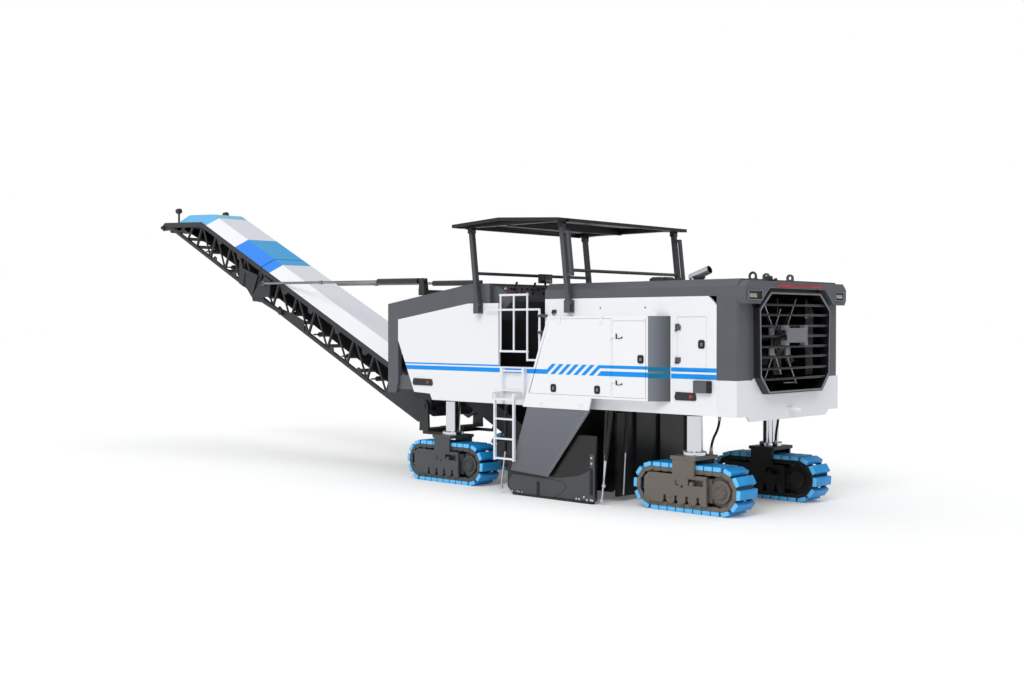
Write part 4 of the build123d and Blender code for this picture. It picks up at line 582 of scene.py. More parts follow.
# ---------------------------------------------------------------- modelling moves
class Bench:
    """Modelling moves that the sub-assemblies share."""

    @staticmethod
    def clear() -> None:
        """Deselects everything."""
        if bpy.context.object and bpy.context.object.mode != "OBJECT":
            bpy.ops.object.mode_set(mode="OBJECT")
        bpy.ops.object.select_all(action="DESELECT")

    @staticmethod
    def take(piece: Piece) -> Piece:
        """Makes a piece the only selected one, and the active one."""
        Bench.clear()
        piece.select_set(True)
        bpy.context.view_layer.objects.active = piece
        return piece

    @staticmethod
    def settle(piece: Piece, name: str) -> Piece:
        """Names a fresh primitive and puts its place into its mesh."""
        piece.name = name
        piece.data.name = name
        Bench.take(piece)
        bpy.ops.object.transform_apply(location=True, rotation=True, scale=True)
        return piece

    @staticmethod
    @contextmanager
    def editing(piece: Piece, test: FaceTest | None = None) -> Iterator[None]:
        """Edit mode on a piece, with the faces that pass a test selected.

        Args:
            piece: The mesh to edit.
            test: Takes a face's middle and normal; None selects every face.
        """
        Bench.take(piece)
        bpy.ops.object.mode_set(mode="EDIT")
        bpy.ops.mesh.select_mode(type="FACE")
        bpy.ops.mesh.select_all(action="DESELECT")
        shape = bmesh.from_edit_mesh(piece.data)
        for face in shape.faces:
            face.select_set(test is None or test(face.calc_center_median(), face.normal))
        shape.select_flush(True)
        bmesh.update_edit_mesh(piece.data)
        yield
        bpy.ops.object.mode_set(mode="OBJECT")

    @staticmethod
    def block(name: str, low: Sequence[float], high: Sequence[float], edge: float = 0.0) -> Piece:
        """Block between two corners with its edges rounded.

        Args:
            name: Name of the piece.
            low: Lowest corner.
            high: Highest corner.
            edge: Width of the rounded edges.

        Returns:
            The block.
        """
        Bench.clear()
        middle = [(a + b) / 2 for a, b in zip(low, high)]
        size = [abs(b - a) for a, b in zip(low, high)]
        bpy.ops.mesh.primitive_cube_add(size=1.0, location=middle, scale=size)
        piece = Bench.settle(bpy.context.object, name)
        if edge:
            with Bench.editing(piece):
                bpy.ops.mesh.bevel(offset=edge, segments=2, affect="EDGES")
        return piece

    @staticmethod
    def turned(
        name: str, start: Sequence[float], axis: Sequence[float], steps: Sequence[Pair], sides: int = 24
    ) -> Piece:
        """Round piece built from a disc by extruding and resizing its end face.

        Args:
            name: Name of the piece.
            start: Centre of its first disc.
            axis: Direction it grows in.
            steps: (distance from the start, radius) of each ring.
            sides: Number of sides.

        Returns:
            The closed piece.
        """
        way = Vector(axis).normalized()
        base = Vector(start)
        Bench.clear()
        turn = way.to_track_quat("Z", "Y").to_euler()
        first_gone, first_radius = steps[0]
        bpy.ops.mesh.primitive_circle_add(
            vertices=sides, radius=first_radius, fill_type="NGON", location=base + way * first_gone, rotation=turn
        )
        piece = Bench.settle(bpy.context.object, name)
        with Bench.editing(piece):
            gone, radius = first_gone, first_radius
            for next_gone, next_radius in steps[1:]:
                bpy.ops.mesh.extrude_region_move(TRANSFORM_OT_translate={"value": way * (next_gone - gone)})
                if abs(next_radius - radius) > 1e-6:
                    share = next_radius / radius
                    bpy.ops.transform.resize(value=(share, share, share), center_override=base + way * next_gone)
                gone, radius = next_gone, next_radius
            bpy.ops.mesh.select_all(action="SELECT")
            bpy.ops.mesh.normals_make_consistent(inside=False)
        return piece

    @staticmethod
    def flat(name: str, outline: Sequence[Point]) -> Piece:
        """Disc with one side per point, pulled out to a flat outline."""
        Bench.clear()
        bpy.ops.mesh.primitive_circle_add(vertices=len(outline), radius=1.0, fill_type="NGON")
        piece = Bench.settle(bpy.context.object, name)
        for vertex, point in zip(piece.data.vertices, outline):
            vertex.co = point
        return piece

    @staticmethod
    def prism(name: str, outline: Sequence[Point], depth: Sequence[float], edge: float = 0.0) -> Piece:
        """Plate grown from a flat outline, which starts as a disc with one side per point.

        Args:
            name: Name of the piece.
            outline: Corners of the plate in order, all in one plane.
            depth: Way and distance that it is extruded.
            edge: Width of its chamfered edges.

        Returns:
            The closed plate.
        """
        piece = Bench.flat(name, outline)
        with Bench.editing(piece):
            bpy.ops.mesh.extrude_region_move(TRANSFORM_OT_translate={"value": depth})
            bpy.ops.mesh.select_all(action="SELECT")
            bpy.ops.mesh.normals_make_consistent(inside=False)
            if edge:
                bpy.ops.mesh.bevel(offset=edge, segments=1, affect="EDGES")
        return piece

    @staticmethod
    def ring(name: str, outline: Sequence[Point], width: float, depth: Sequence[float]) -> Piece:
        """Frame of even width along the inside of a flat outline, grown to a thickness.

        Args:
            name: Name of the piece.
            outline: Corners of its outer edge in order, all in one plane.
            width: Width of the frame.
            depth: Way and distance that it is extruded.

        Returns:
            The closed frame.
        """
        piece = Bench.flat(name, outline)
        piece.data.update()
        with Bench.editing(piece):
            bpy.ops.mesh.inset(thickness=width)
            bpy.ops.mesh.delete(type="FACE")
            bpy.ops.mesh.select_all(action="SELECT")
            bpy.ops.mesh.extrude_region_move(TRANSFORM_OT_translate={"value": depth})
            bpy.ops.mesh.select_all(action="SELECT")
            bpy.ops.mesh.normals_make_consistent(inside=False)
        return piece

    @staticmethod
    def rod(
        name: str, start: Sequence[float], end: Sequence[float], radius: float, sides: int = 16
    ) -> Piece:
        """Round bar between two points with its ends chamfered."""
        way = Vector(end) - Vector(start)
        far, lip = way.length, min(radius * 0.3, way.length * 0.1)
        steps = [(0.0, radius * 0.8), (lip, radius), (far - lip, radius), (far, radius * 0.8)]
        return Bench.turned(name, start, way, steps, sides)

    @staticmethod
    def eyelet(name: str, at: Point, radii: Pair, parts: tuple[int, int]) -> Piece:
        """Upright ring that faces sideways, given its two radii and its segments both ways."""
        bpy.ops.mesh.primitive_torus_add(
            location=at,
            rotation=(math.pi / 2, 0, 0),
            major_radius=radii[0],
            minor_radius=radii[1],
            major_segments=parts[0],
            minor_segments=parts[1],
        )
        return Bench.settle(bpy.context.object, name)

    @staticmethod
    def path(name: str, points: Sequence[Sequence[float]], radius: float, sides: int = 8) -> list[Piece]:
        """Rods from each point of a line to the next."""
        return [Bench.rod(name, start, end, radius, sides) for start, end in zip(points, points[1:])]

    @staticmethod
    def inset(piece: Piece, test: FaceTest, thickness: float, depth: float) -> Piece:
        """Insets the faces that pass a test and moves them along their normals."""
        with Bench.editing(piece, test):
            bpy.ops.mesh.inset(thickness=thickness, depth=depth)
        return piece

    @staticmethod
    def join(name: str, parts: Iterable[Piece]) -> Piece:
        """Joins parts into one mesh."""
        parts = list(parts)
        Bench.clear()
        for part in parts:
            part.select_set(True)
        bpy.context.view_layer.objects.active = parts[0]
        if len(parts) > 1:
            bpy.ops.object.join()
        piece = bpy.context.view_layer.objects.active
        piece.name = name
        piece.data.name = name
        return piece

    @staticmethod
    def twin(part: Piece, name: str, place: Matrix) -> Piece:
        """Copy of a part, with its own mesh, at a place that may mirror it."""
        twin = part.copy()
        twin.data = part.data.copy()
        twin.data.transform(place)
        if place.determinant() < 0:
            twin.data.flip_normals()
        bpy.context.collection.objects.link(twin)
        twin.name = name
        twin.data.name = name
        return twin

    @staticmethod
    def copies(name: str, part: Piece, places: Iterable[Matrix]) -> Piece:
        """Sets a copy of a part, with its own mesh, at each place and joins them.

        Args:
            name: Name of the joined piece.
            part: The part, modelled about the origin; it is used up.
            places: Where each copy goes.

        Returns:
            The joined piece.
        """
        made = [Bench.twin(part, name, place) for place in places]
        bpy.data.objects.remove(part)
        return Bench.join(name, made)

    @staticmethod
    def dress(
        piece: Piece, finish: Finish, body: str = "chassis", slot: Slot = Slot.DARK, smooth: float = 32.0
    ) -> Piece:
        """Gives a finished piece its material and body.

        Args:
            piece: The piece, in place.
            finish: Its surface.
            body: CAD body that it rides on.
            slot: The record's slot for its finish; not used.
            smooth: Angle in degrees under which edges are smooth.

        Returns:
            The piece.
        """
        piece.data.materials.clear()
        piece.data.materials.append(finish.make())
        if piece.type == "MESH" and smooth:
            Bench.take(piece)
            bpy.ops.object.shade_smooth_by_angle(angle=math.radians(smooth))
        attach(piece, body)
        LOG.info("piece %s on %s", piece.name, body)
        return piece

    @staticmethod
    def finish(
        name: str,
        parts: Iterable[Piece],
        finish: Finish,
        body: str = "chassis",
        slot: Slot = Slot.DARK,
        smooth: float = 32.0,
    ) -> Piece:
        """Joins parts into one piece and dresses it, as in dress."""
        return Bench.dress(Bench.join(name, parts), finish, body, slot, smooth)


def moved(x: float, y: float, z: float, turn: float = 0.0, about: str = "Y") -> Matrix:
    """Place matrix: a turn in degrees about an axis, then a move."""
    return Matrix.Translation((x, y, z)) @ Matrix.Rotation(math.radians(turn), 4, about)


def bolt(name: str, radius: float, height: float, axis: Sequence[float]) -> Piece:
    """Hexagon bolt head on a washer at the origin, pointing along an axis."""
    washer = Bench.turned(name + "_washer", (0, 0, 0), axis, [(0, radius * 1.35), (height * 0.25, radius * 1.35)], 16)
    head = Bench.turned(name, (0, 0, 0), axis, [(0, radius), (height * 0.8, radius), (height, radius * 0.82)], 6)
    return Bench.join(name, [head, washer])


# ---------------------------------------------------------------- CAD nodes
@dataclass
class Dresser:
    """Gives every CAD node that stays in view its surface."""

    frame: dict
    groups: tuple[tuple[Finish, str], ...] = (
        (CHASSIS, "main_frame scraper_door"),
        (PANEL, "side_panels rear_door_left rear_door_right"),
        (CASE, "side_box side_lid side_door"),
        (WHITE, "gate_left gate_right ladder_frames ladder_left ladder_right"),
        (HOOD, "engine_hood rear_cowl front_cowl operator_consoles"),
        (INSIDE_SHADE, "radiator"),
        (DARK, "cooling_fan display_monitor stay_cylinders"),
        (CAST, "engine_block"),
        (BLACK_AND_SHADE, "operator_deck"),
        (CANOPY, "canopy_roof"),
        (POST, "canopy_front_posts canopy_rear_posts"),
        (CHROME, "exhaust_pipe column_rear_left column_rear_right column_front_left column_front_right"),
        (SHIELD, "drum_housing"),
        (DRUM, "milling_drum"),
        (EDGE, "edge_plate_left edge_plate_right"),
        (TRUSS, "pickup_conveyor conveyor_seat conveyor_mast conveyor_inner_frame conveyor_outer_frame"),
        (STEEL, "stay_rods"),
        (BELT, "conveyor_belt_inner conveyor_belt_outer"),
        (COVER, "cover_inner cover_outer"),
        (TRACK_LIT_WARM, "track_frame_rear_left"),
        (TRACK_SHADED_GREY, "track_frame_front_left track_frame_front_right"),
        (TRACK_DEEP_SHADE, "track_frame_rear_right"),
    )

    def build(self) -> None:
        """Assigns the surfaces to the nodes' own slots."""
        finishes = {name: finish for finish, names in self.groups for name in names.split()}
        for name, node in self.frame["nodes"].items():
            finish = finishes.get(name)
            if finish is None:
                continue
            if not node.material_slots:
                node.data.materials.append(finish.make())
            for holder in node.material_slots:
                holder.material = finish.make()


# ---------------------------------------------------------------- running gear
@dataclass
class Tracks:
    """Four crawler tracks: shoes on their chains, hubs, frame fittings and foot bolts."""

    length: float = 1.718
    height: float = 0.639
    shoe_width: float = 0.420
    shoe_thickness: float = 0.058
    chain_depth: float = 0.062
    shoes: int = 26
    link_width: float = 0.018
    link_y: float = 0.195
    frame_face: float = 0.252
    ground_gap: float = 0.002

    @property
    def pitch_radius(self) -> float:
        """Radius of the chain's middle line round its wheels."""
        return self.height / 2 - self.shoe_thickness - self.chain_depth / 2

    @property
    def end_offset(self) -> float:
        """Distance of the wheels from the middle of the loop."""
        return self.length / 2 - self.height / 2

    @property
    def pitch(self) -> float:
        """Distance from shoe to shoe along the chain."""
        return (4 * self.end_offset + 2 * math.pi * self.pitch_radius) / self.shoes

    def stations(self, shift: float = 0.5) -> list[Matrix]:
        """Place of each shoe: its outer side points along its local Z.

        Args:
            shift: Share of a pitch that the first shoe is moved along.

        Returns:
            One matrix a shoe, for a loop about (0, 0) on the ground.
        """
        straight = 2 * self.end_offset
        arc = math.pi * self.pitch_radius
        places = []
        for index in range(self.shoes):
            lap, gone = divmod((index + shift) * self.pitch, straight + arc)
            way = 1 if lap == 0 else -1
            if gone < straight:
                x, z, turn = gone - self.end_offset, -self.pitch_radius, 180.0
            else:
                angle = (gone - straight) / self.pitch_radius - math.pi / 2
                x = self.end_offset + self.pitch_radius * math.cos(angle)
                z, turn = self.pitch_radius * math.sin(angle), 90 - math.degrees(angle)
            x, z, turn = way * x, way * z, turn if way > 0 else turn - 180
            places.append(moved(x, 0.0, z + self.height / 2 + self.ground_gap, turn))
        return places

    def shoe(self) -> Piece:
        """One shoe: a pad with sloped ends and rounded edges."""
        half, wide = self.pitch * 0.462, self.shoe_width / 2
        low = self.chain_depth / 2 + 0.001
        high = self.chain_depth / 2 + self.shoe_thickness
        pad = Bench.block("shoe", (-half, -wide, low), (half, wide, high))
        with Bench.editing(pad, lambda middle, normal: normal.z > SQUARE):
            bpy.ops.transform.resize(value=(0.93, 0.975, 1.0), center_override=(0, 0, high))
        with Bench.editing(pad):
            bpy.ops.mesh.bevel(offset=0.005, segments=2, affect="EDGES")
        return pad

    def link(self) -> Piece:
        """One chain link: two waisted side plates, a bush and pin ends."""
        half, tall = self.pitch * 0.5, self.chain_depth / 2
        rear, front, crest = -half - 0.022, half + 0.016, tall + 0.002
        outline = [(rear, -tall * 0.55), (-half * 0.45, -tall * 0.98), (half * 0.45, -tall * 0.98)]
        outline += [(front, -tall * 0.62), (front, tall * 0.3), (half * 0.6, crest), (-half * 0.6, crest)]
        outline += [(rear, tall * 0.45)]
        parts = []
        for side in (-1, 1):
            y = side * self.link_y - self.link_width / 2
            points = [(x, y + (0.004 if x < 0 else 0.0), z) for x, z in outline]
            parts.append(Bench.prism("link_plate", points, (0, self.link_width, 0), 0.003))
            steps = [(0, 0.015), (0.024, 0.015), (0.027, 0.012)]
            at = (half, side * (self.link_y - 0.008), -tall * 0.15)
            parts.append(Bench.turned("link_pin", at, (0, side, 0), steps, 10))
        steps = [(0, 0.02), (2 * self.link_y, 0.02)]
        parts.append(Bench.turned("bush", (half, -self.link_y, -tall * 0.15), LEFTWARDS, steps, 12))
        return Bench.join("link", parts)

    def hub(self) -> Piece:
        """Final drive: a dished flange with bolt lobes round a stepped cap, facing +Y at the origin."""
        steps = [(0, 0.150), (0.022, 0.150), (0.026, 0.142), (0.026, 0.112), (0.014, 0.106)]
        flange = Bench.turned("hub", (0, -0.02, 0), LEFTWARDS, steps, 40)
        steps = [(0, 0.100), (0.034, 0.100), (0.042, 0.092), (0.042, 0.058), (0.034, 0.052)]
        cap = Bench.turned("hub_cap", (0, -0.01, 0), LEFTWARDS, steps, 40)
        lobes = []
        for angle in self.angles(10):
            at = (0.082 * math.cos(angle), 0.030, 0.082 * math.sin(angle))
            lobes.append(Bench.turned("hub_lobe", at, LEFTWARDS, [(0, 0.019), (0.012, 0.019), (0.015, 0.016)], 12))
        ring = [moved(0.082 * math.cos(a), 0.044, 0.082 * math.sin(a)) for a in self.angles(10)]
        inner = [moved(0.032 * math.cos(a), 0.023, 0.032 * math.sin(a)) for a in self.angles(5)]
        bolts = Bench.copies("hub_bolts", bolt("hub_bolt", 0.0085, 0.010, LEFTWARDS), ring + inner)
        return Bench.join("hub", [flange, cap, bolts, *lobes])

    @staticmethod
    def angles(count: int) -> list[float]:
        """Evenly spaced angles in radians."""
        return [2 * math.pi * index / count for index in range(count)]

    def side_fittings(self) -> Piece:
        """Grease cap, rim and bolts on the outer plate, facing +Y."""
        face = self.frame_face
        x, z = -0.131, 0.390
        steps = [(0, 0.030), (0.010, 0.030), (0.014, 0.024), (0.014, 0.010)]
        cap = Bench.turned("grease_cap", (x, face - 0.006, z), LEFTWARDS, steps, 20)
        rim = [(x - 0.190, 0.374), (x - 0.190, 0.458), (x - 0.075, 0.458), (x - 0.075, 0.470), (x + 0.070, 0.470)]
        lip = Bench.path("rim", [(px, face + 0.001, pz) for px, pz in rim], 0.004)
        rows = [moved(px, face - 0.002, pz) for px, pz in ((0.55, 0.44), (0.55, 0.15), (0.20, 0.20), (-0.36, 0.47))]
        bolts = Bench.copies("frame_bolts", bolt("frame_bolt", 0.010, 0.010, LEFTWARDS), rows)
        return Bench.join("track_fittings", [cap, bolts, *lip])

    def grooves(self) -> Piece:
        """L-shaped slot and sight hole of the outer plate, facing +Y, as thin black sheets of painted shade."""
        face = self.frame_face + 0.0006
        corners = [(0.132, 0.436), (0.118, 0.436), (0.110, 0.378), (0.078, 0.378), (0.078, 0.364), (0.122, 0.364)]
        slot = Bench.prism("slot", [(x, face, z) for x, z in corners], (0, 0.0012, 0))
        hole = Bench.turned("sight_hole", (0.020, face, 0.354), LEFTWARDS, [(0, 0.019), (0.0012, 0.019)], 16)
        return Bench.join("grooves", [slot, hole])

    def flange_bolts(self) -> Piece:
        """Ring of bolts on the column's foot flange, about the column's axis."""
        top = 0.797
        places = [moved(0.142 * math.cos(a), 0.142 * math.sin(a), top) for a in self.angles(10)]
        return Bench.copies("flange_bolts", bolt("flange_bolt", 0.011, 0.013, UPWARDS), places)

    def build(self) -> None:
        """Makes the loops, hubs and fittings of all four tracks."""
        shoes = Bench.copies("shoes", self.shoe(), self.stations())
        chain = Bench.copies("chain", self.link(), self.stations())
        hub, fittings, grooves, flange = self.hub(), self.side_fittings(), self.grooves(), self.flange_bolts()
        # Painted light and shade: each track, with its chain, hub and fittings, gets the lit or shaded copy of the
        # track metal for its corner.
        finishes = {"rear_left": TRACK_LIT_WARM, "front_left": TRACK_SHADED_GREY, "rear_right": TRACK_DEEP_SHADE}
        for end, x in (("front", FRONT_COLUMN_X), ("rear", REAR_COLUMN_X)):
            for side in Side:
                corner = f"{end}_{side.word}"
                body = f"steer_{corner}"
                metal = finishes.get(corner, TRACK_SHADED_GREY)
                at = (x, TRACK_Y, 0.0)
                hub_at = (x - self.end_offset, TRACK_Y + 0.176, self.height / 2)
                for part, name, place, finish, slot, smooth in (
                    (shoes, "shoes", at, SHOE, Slot.SHOE, 32.0),
                    (chain, "chain", at, metal, Slot.STEEL, 32.0),
                    (hub, "hub", hub_at, metal, Slot.DARK, 32.0),
                    (fittings, "fittings", at, metal, Slot.DARK, 32.0),
                    (grooves, "grooves", at, BLACK_AND_SHADE, Slot.DARK, 0.0),
                    (flange, "flange_bolts", at, STEEL, Slot.STEEL, 32.0),
                ):
                    made = Bench.twin(part, f"{name}_{corner}", side.place(*place))
                    Bench.dress(made, finish, body, slot, smooth)
                    if part is shoes:
                        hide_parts(f"track_{corner}")
        for part in (shoes, chain, hub, fittings, grooves, flange):
            bpy.data.objects.remove(part)


@dataclass
class Hoses:
    """Hydraulic hoses from the chassis down to the tracks."""

    radius: float = 0.017
    length: float = 0.490
    top: Pair = (0.258, 0.215)
    foot: Pair = (0.172, 0.146)
    route: tuple[Pair, ...] = ((0.0, 1.265), (0.0, 1.137), (1.0, 0.925), (1.0, 0.798))

    def build(self) -> None:
        """Makes one hose with its crimped ends at each corner."""
        for end, x, out_x in (("front", FRONT_COLUMN_X, 1), ("rear", REAR_COLUMN_X, -1)):
            for side in Side:
                out_y = -side.value
                points = []
                for share, z in self.route:
                    reach_x = self.top[0] + (self.foot[0] - self.top[0]) * share
                    reach_y = self.top[1] + (self.foot[1] - self.top[1]) * share
                    points.append((x + out_x * reach_x, side.value * TRACK_Y + out_y * reach_y, z))
                self.hose(f"{end}_{side.word}", points)

    def hose(self, corner: str, points: list[Point]) -> None:
        """One hose on its smooth line, with a ferrule at each end."""
        curve = bpy.data.curves.new(f"hose_line_{corner}", "CURVE")
        curve.dimensions = "3D"
        spline = curve.splines.new("NURBS")
        spline.points.add(len(points) - 1)
        for control, point in zip(spline.points, points):
            control.co = (*point, 1.0)
        spline.order_u = 3
        spline.use_endpoint_u = True
        curve.bevel_depth = self.radius
        curve.bevel_resolution = 5
        curve.resolution_u = 16
        curve.use_fill_caps = True
        piece = bpy.data.objects.new(f"hydraulic_hose_{corner}", curve)
        bpy.context.collection.objects.link(piece)
        Bench.dress(piece, HOSE, slot=Slot.RUBBER)
        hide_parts(f"hose_{corner}")
        for label, point, way in (("top", points[0], -1), ("foot", points[-1], 1)):
            steps = [(0.0, 0.024), (0.012, 0.024), (0.014, 0.021), (0.050, 0.0205), (0.056, 0.018)]
            ferrule = Bench.turned(f"ferrule_{label}_{corner}", point, (0, 0, way), steps, 20)
            Bench.dress(ferrule, STEEL, "chassis", Slot.STEEL)


# ---------------------------------------------------------------- body
@dataclass
class SideFittings:
    """Hinges, latches, markers and small fittings on the machine's sides."""

    rear_latch: Pair = (-6.796, 2.236)
    hinge_seam_x: float = -6.412
    rear_hinges: tuple[float, ...] = (2.019, 2.461)
    box_x: Pair = (-6.961, -6.700)
    box_z: Pair = (1.606, 1.766)
    clips: tuple[tuple[str, float], ...] = (("upper", 2.331), ("lower", 1.703))
    clip_x: float = -5.545
    screws: tuple[Pair, ...] = ((-5.881, 2.722), (-5.10, 2.722), (-4.62, 2.722))
    case_latches: tuple[tuple[str, float, float, str], ...] = (
        ("lid_latch_front", -4.397, 1.595, "case_lid"),
        ("lid_latch_rear", -5.200, 1.598, "case_lid"),
        ("case_door_latch", -5.948, 2.030, "case_door"),
    )

    def latch(self) -> tuple[Piece, Piece]:
        """Black dish and the light paddle lock in it, facing +Y at the origin."""
        outline = [(0.050, 0.034), (0.034, 0.056), (-0.034, 0.056), (-0.050, 0.034)]
        outline += [(x, -z) for x, z in reversed(outline)]
        dish = Bench.prism("latch", [(x, -0.003, z) for x, z in outline], (0, 0.015, 0), 0.003)
        Bench.inset(dish, lambda middle, normal: normal.y > SQUARE, 0.010, -0.008)
        paddle = Bench.block("paddle", (-0.022, 0.004, -0.026), (0.018, 0.013, 0.020), 0.004)
        lock = Bench.turned("lock", (0.004, 0.010, -0.010), LEFTWARDS, [(0, 0.011), (0.006, 0.011), (0.008, 0.008)], 18)
        return dish, Bench.join("latch_handle", [paddle, lock])

    def marker(self, half: float, tall: float) -> tuple[Piece, Piece]:
        """Dark marker housing with slanted ends and its round red lens, facing +Y at the origin."""
        lean = tall * 0.35
        outline = [(-half, -tall * 0.5), (-half + lean, -tall), (half - lean, -tall), (half, -tall * 0.4)]
        outline += [(half - lean, tall), (-half + lean, tall * 0.9)]
        case = Bench.prism("marker", [(x, -0.004, z) for x, z in outline], (0, 0.018, 0), 0.004)
        Bench.inset(case, lambda middle, normal: normal.y > SQUARE, 0.012, -0.010)
        strips = [
            Bench.block("strip", (x - 0.022, 0.0, -tall * 0.30), (x + 0.022, 0.010, tall * 0.30), 0.004)
            for x in (-half * 0.05, half * 0.28, half * 0.60)
        ]
        steps = [(0, 0.024), (0.010, 0.024), (0.014, 0.014)]
        lens = Bench.turned("lens", (-half * 0.50, 0.0, 0.0), LEFTWARDS, steps, 20)
        return Bench.join("marker", [case, *strips]), lens

    def clip(self) -> Piece:
        """Sprung door clip: an upright pad and a bent wire, facing +Y at the origin."""
        bends = [(0.020, 0.040), (0.006, -0.018), (-0.040, -0.030), (-0.082, -0.016)]
        wire = Bench.path("wire", [(x, 0.007, z) for x, z in bends], 0.005)
        pad = Bench.block("clip_pad", (-0.002, -0.002, -0.030), (0.018, 0.010, 0.034), 0.003)
        knob = Bench.turned("clip_knob", (-0.086, -0.001, -0.014), LEFTWARDS, [(0, 0.011), (0.012, 0.011)], 12)
        return Bench.join("clip", [pad, knob, *wire])

    def socket_box(self, side: Side) -> None:
        """Step-shaped socket box with a black block on its rear end, as painted shade."""
        rear, front = self.box_x
        face = sorted((side.value * (BODY_HALF - 0.004), side.value * (BODY_HALF + 0.060)))
        low, high = self.box_z
        name = f"socket_box_{side.word}"
        box = Bench.block(name, (rear + 0.05, face[0], low), (front, face[1], high), 0.006)
        Bench.inset(box, lambda middle, normal, s=side.value: normal.y * s > SQUARE, 0.010, -0.006)
        Bench.dress(box, HOOD, slot=Slot.GREY)
        # Painted shade: the box's rear end is a black block, standing for the shade on its rear face.
        name = f"socket_box_end_{side.word}"
        end = Bench.block(name, (rear, face[0], low), (rear + 0.052, face[1], high), 0.012)
        Bench.dress(end, BLACK_AND_SHADE)

    def rear_hinge(self, side: Side) -> None:
        """Leaves of the rear door's hinges: one on the door, one on the panel."""
        leaves: dict[str, list[Piece]] = {"panel": [], "door": []}
        for z in self.rear_hinges:
            for key, low, high in (("panel", 0.003, 0.030), ("door", -0.034, -0.006)):
                y0, y1 = sorted((side.value * (BODY_HALF - 0.001), side.value * (BODY_HALF + 0.010)))
                low_x, high_x = self.hinge_seam_x + low, self.hinge_seam_x + high
                leaves[key].append(Bench.block("leaf", (low_x, y0, z - 0.042), (high_x, y1, z + 0.042), 0.003))
        Bench.finish(f"hinge_leaves_{side.word}", leaves["panel"], DARK)
        Bench.finish(f"hinge_straps_{side.word}", leaves["door"], DARK, f"door_rear_{side.word}")

    def case_trim(self) -> None:
        """Clips of the case door, its screws and the ring bracket over the lid."""
        clip = self.clip()
        for name, z in self.clips:
            made = Bench.twin(clip, f"door_clip_{name}", Side.LEFT.place(self.clip_x, CASE_FACE_Y, z))
            Bench.dress(made, DARK, "case_door")
        bpy.data.objects.remove(clip)
        places = [moved(x, BODY_HALF - 0.001, z) for x, z in self.screws]
        screws = Bench.copies("panel_screws", bolt("panel_screw", 0.009, 0.008, LEFTWARDS), places)
        Bench.dress(screws, DARK)
        plate = Bench.block("ring_plate", (-4.290, BODY_HALF - 0.002, 2.655), (-4.215, BODY_HALF + 0.012, 2.705), 0.003)
        eye = Bench.eyelet("ring_eye", (-4.252, BODY_HALF + 0.022, 2.668), (0.032, 0.006), (24, 8))
        Bench.finish("ring_bracket", [plate, eye], DARK)
        hinges = []
        for x in (-4.908, -4.172):
            hinges.append(Bench.block("skirt_leaf", (x - 0.035, 1.4585, 1.335), (x + 0.035, 1.466, 1.415), 0.002))
            hinges.append(Bench.rod("skirt_pin", (x - 0.032, 1.468, 1.376), (x + 0.032, 1.468, 1.376), 0.008, 10))
        Bench.finish("skirt_hinges", hinges, WHITE, slot=Slot.WHITE)

    def build(self) -> None:
        """Makes latches, markers and boxes on both sides."""
        latch, handle = self.latch()
        rear_marker, rear_lens = self.marker(0.1755, 0.055)
        front_marker, front_lens = self.marker(0.235, 0.055)
        for side in Side:
            word = side.word
            x, z = self.rear_latch
            body = f"door_rear_{word}"
            place = side.place(x, BODY_HALF, z)
            Bench.dress(Bench.twin(latch, f"rear_door_latch_{word}", place), BLACK_AND_SHADE, body)
            Bench.dress(Bench.twin(handle, f"rear_door_handle_{word}", place), PLATE, body, Slot.GREY)
            for end, part, lens, px, pz in (
                ("rear", rear_marker, rear_lens, -6.5445, 1.552),
                ("front", front_marker, front_lens, -1.458, 1.585),
            ):
                place = side.place(px, BODY_HALF, pz)
                Bench.dress(Bench.twin(part, f"side_marker_{end}_{word}", place), DARK)
                Bench.dress(Bench.twin(lens, f"side_marker_lens_{end}_{word}", place), GLASS_RED)
            self.socket_box(side)
            self.rear_hinge(side)
        for name, x, z, body in self.case_latches:
            place = Side.LEFT.place(x, CASE_FACE_Y, z)
            Bench.dress(Bench.twin(latch, name, place), BLACK_AND_SHADE, body)
            Bench.dress(Bench.twin(handle, f"{name}_handle", place), PLATE, body, Slot.GREY)
        self.case_trim()
        for part in (latch, handle, rear_marker, rear_lens, front_marker, front_lens):
            bpy.data.objects.remove(part)


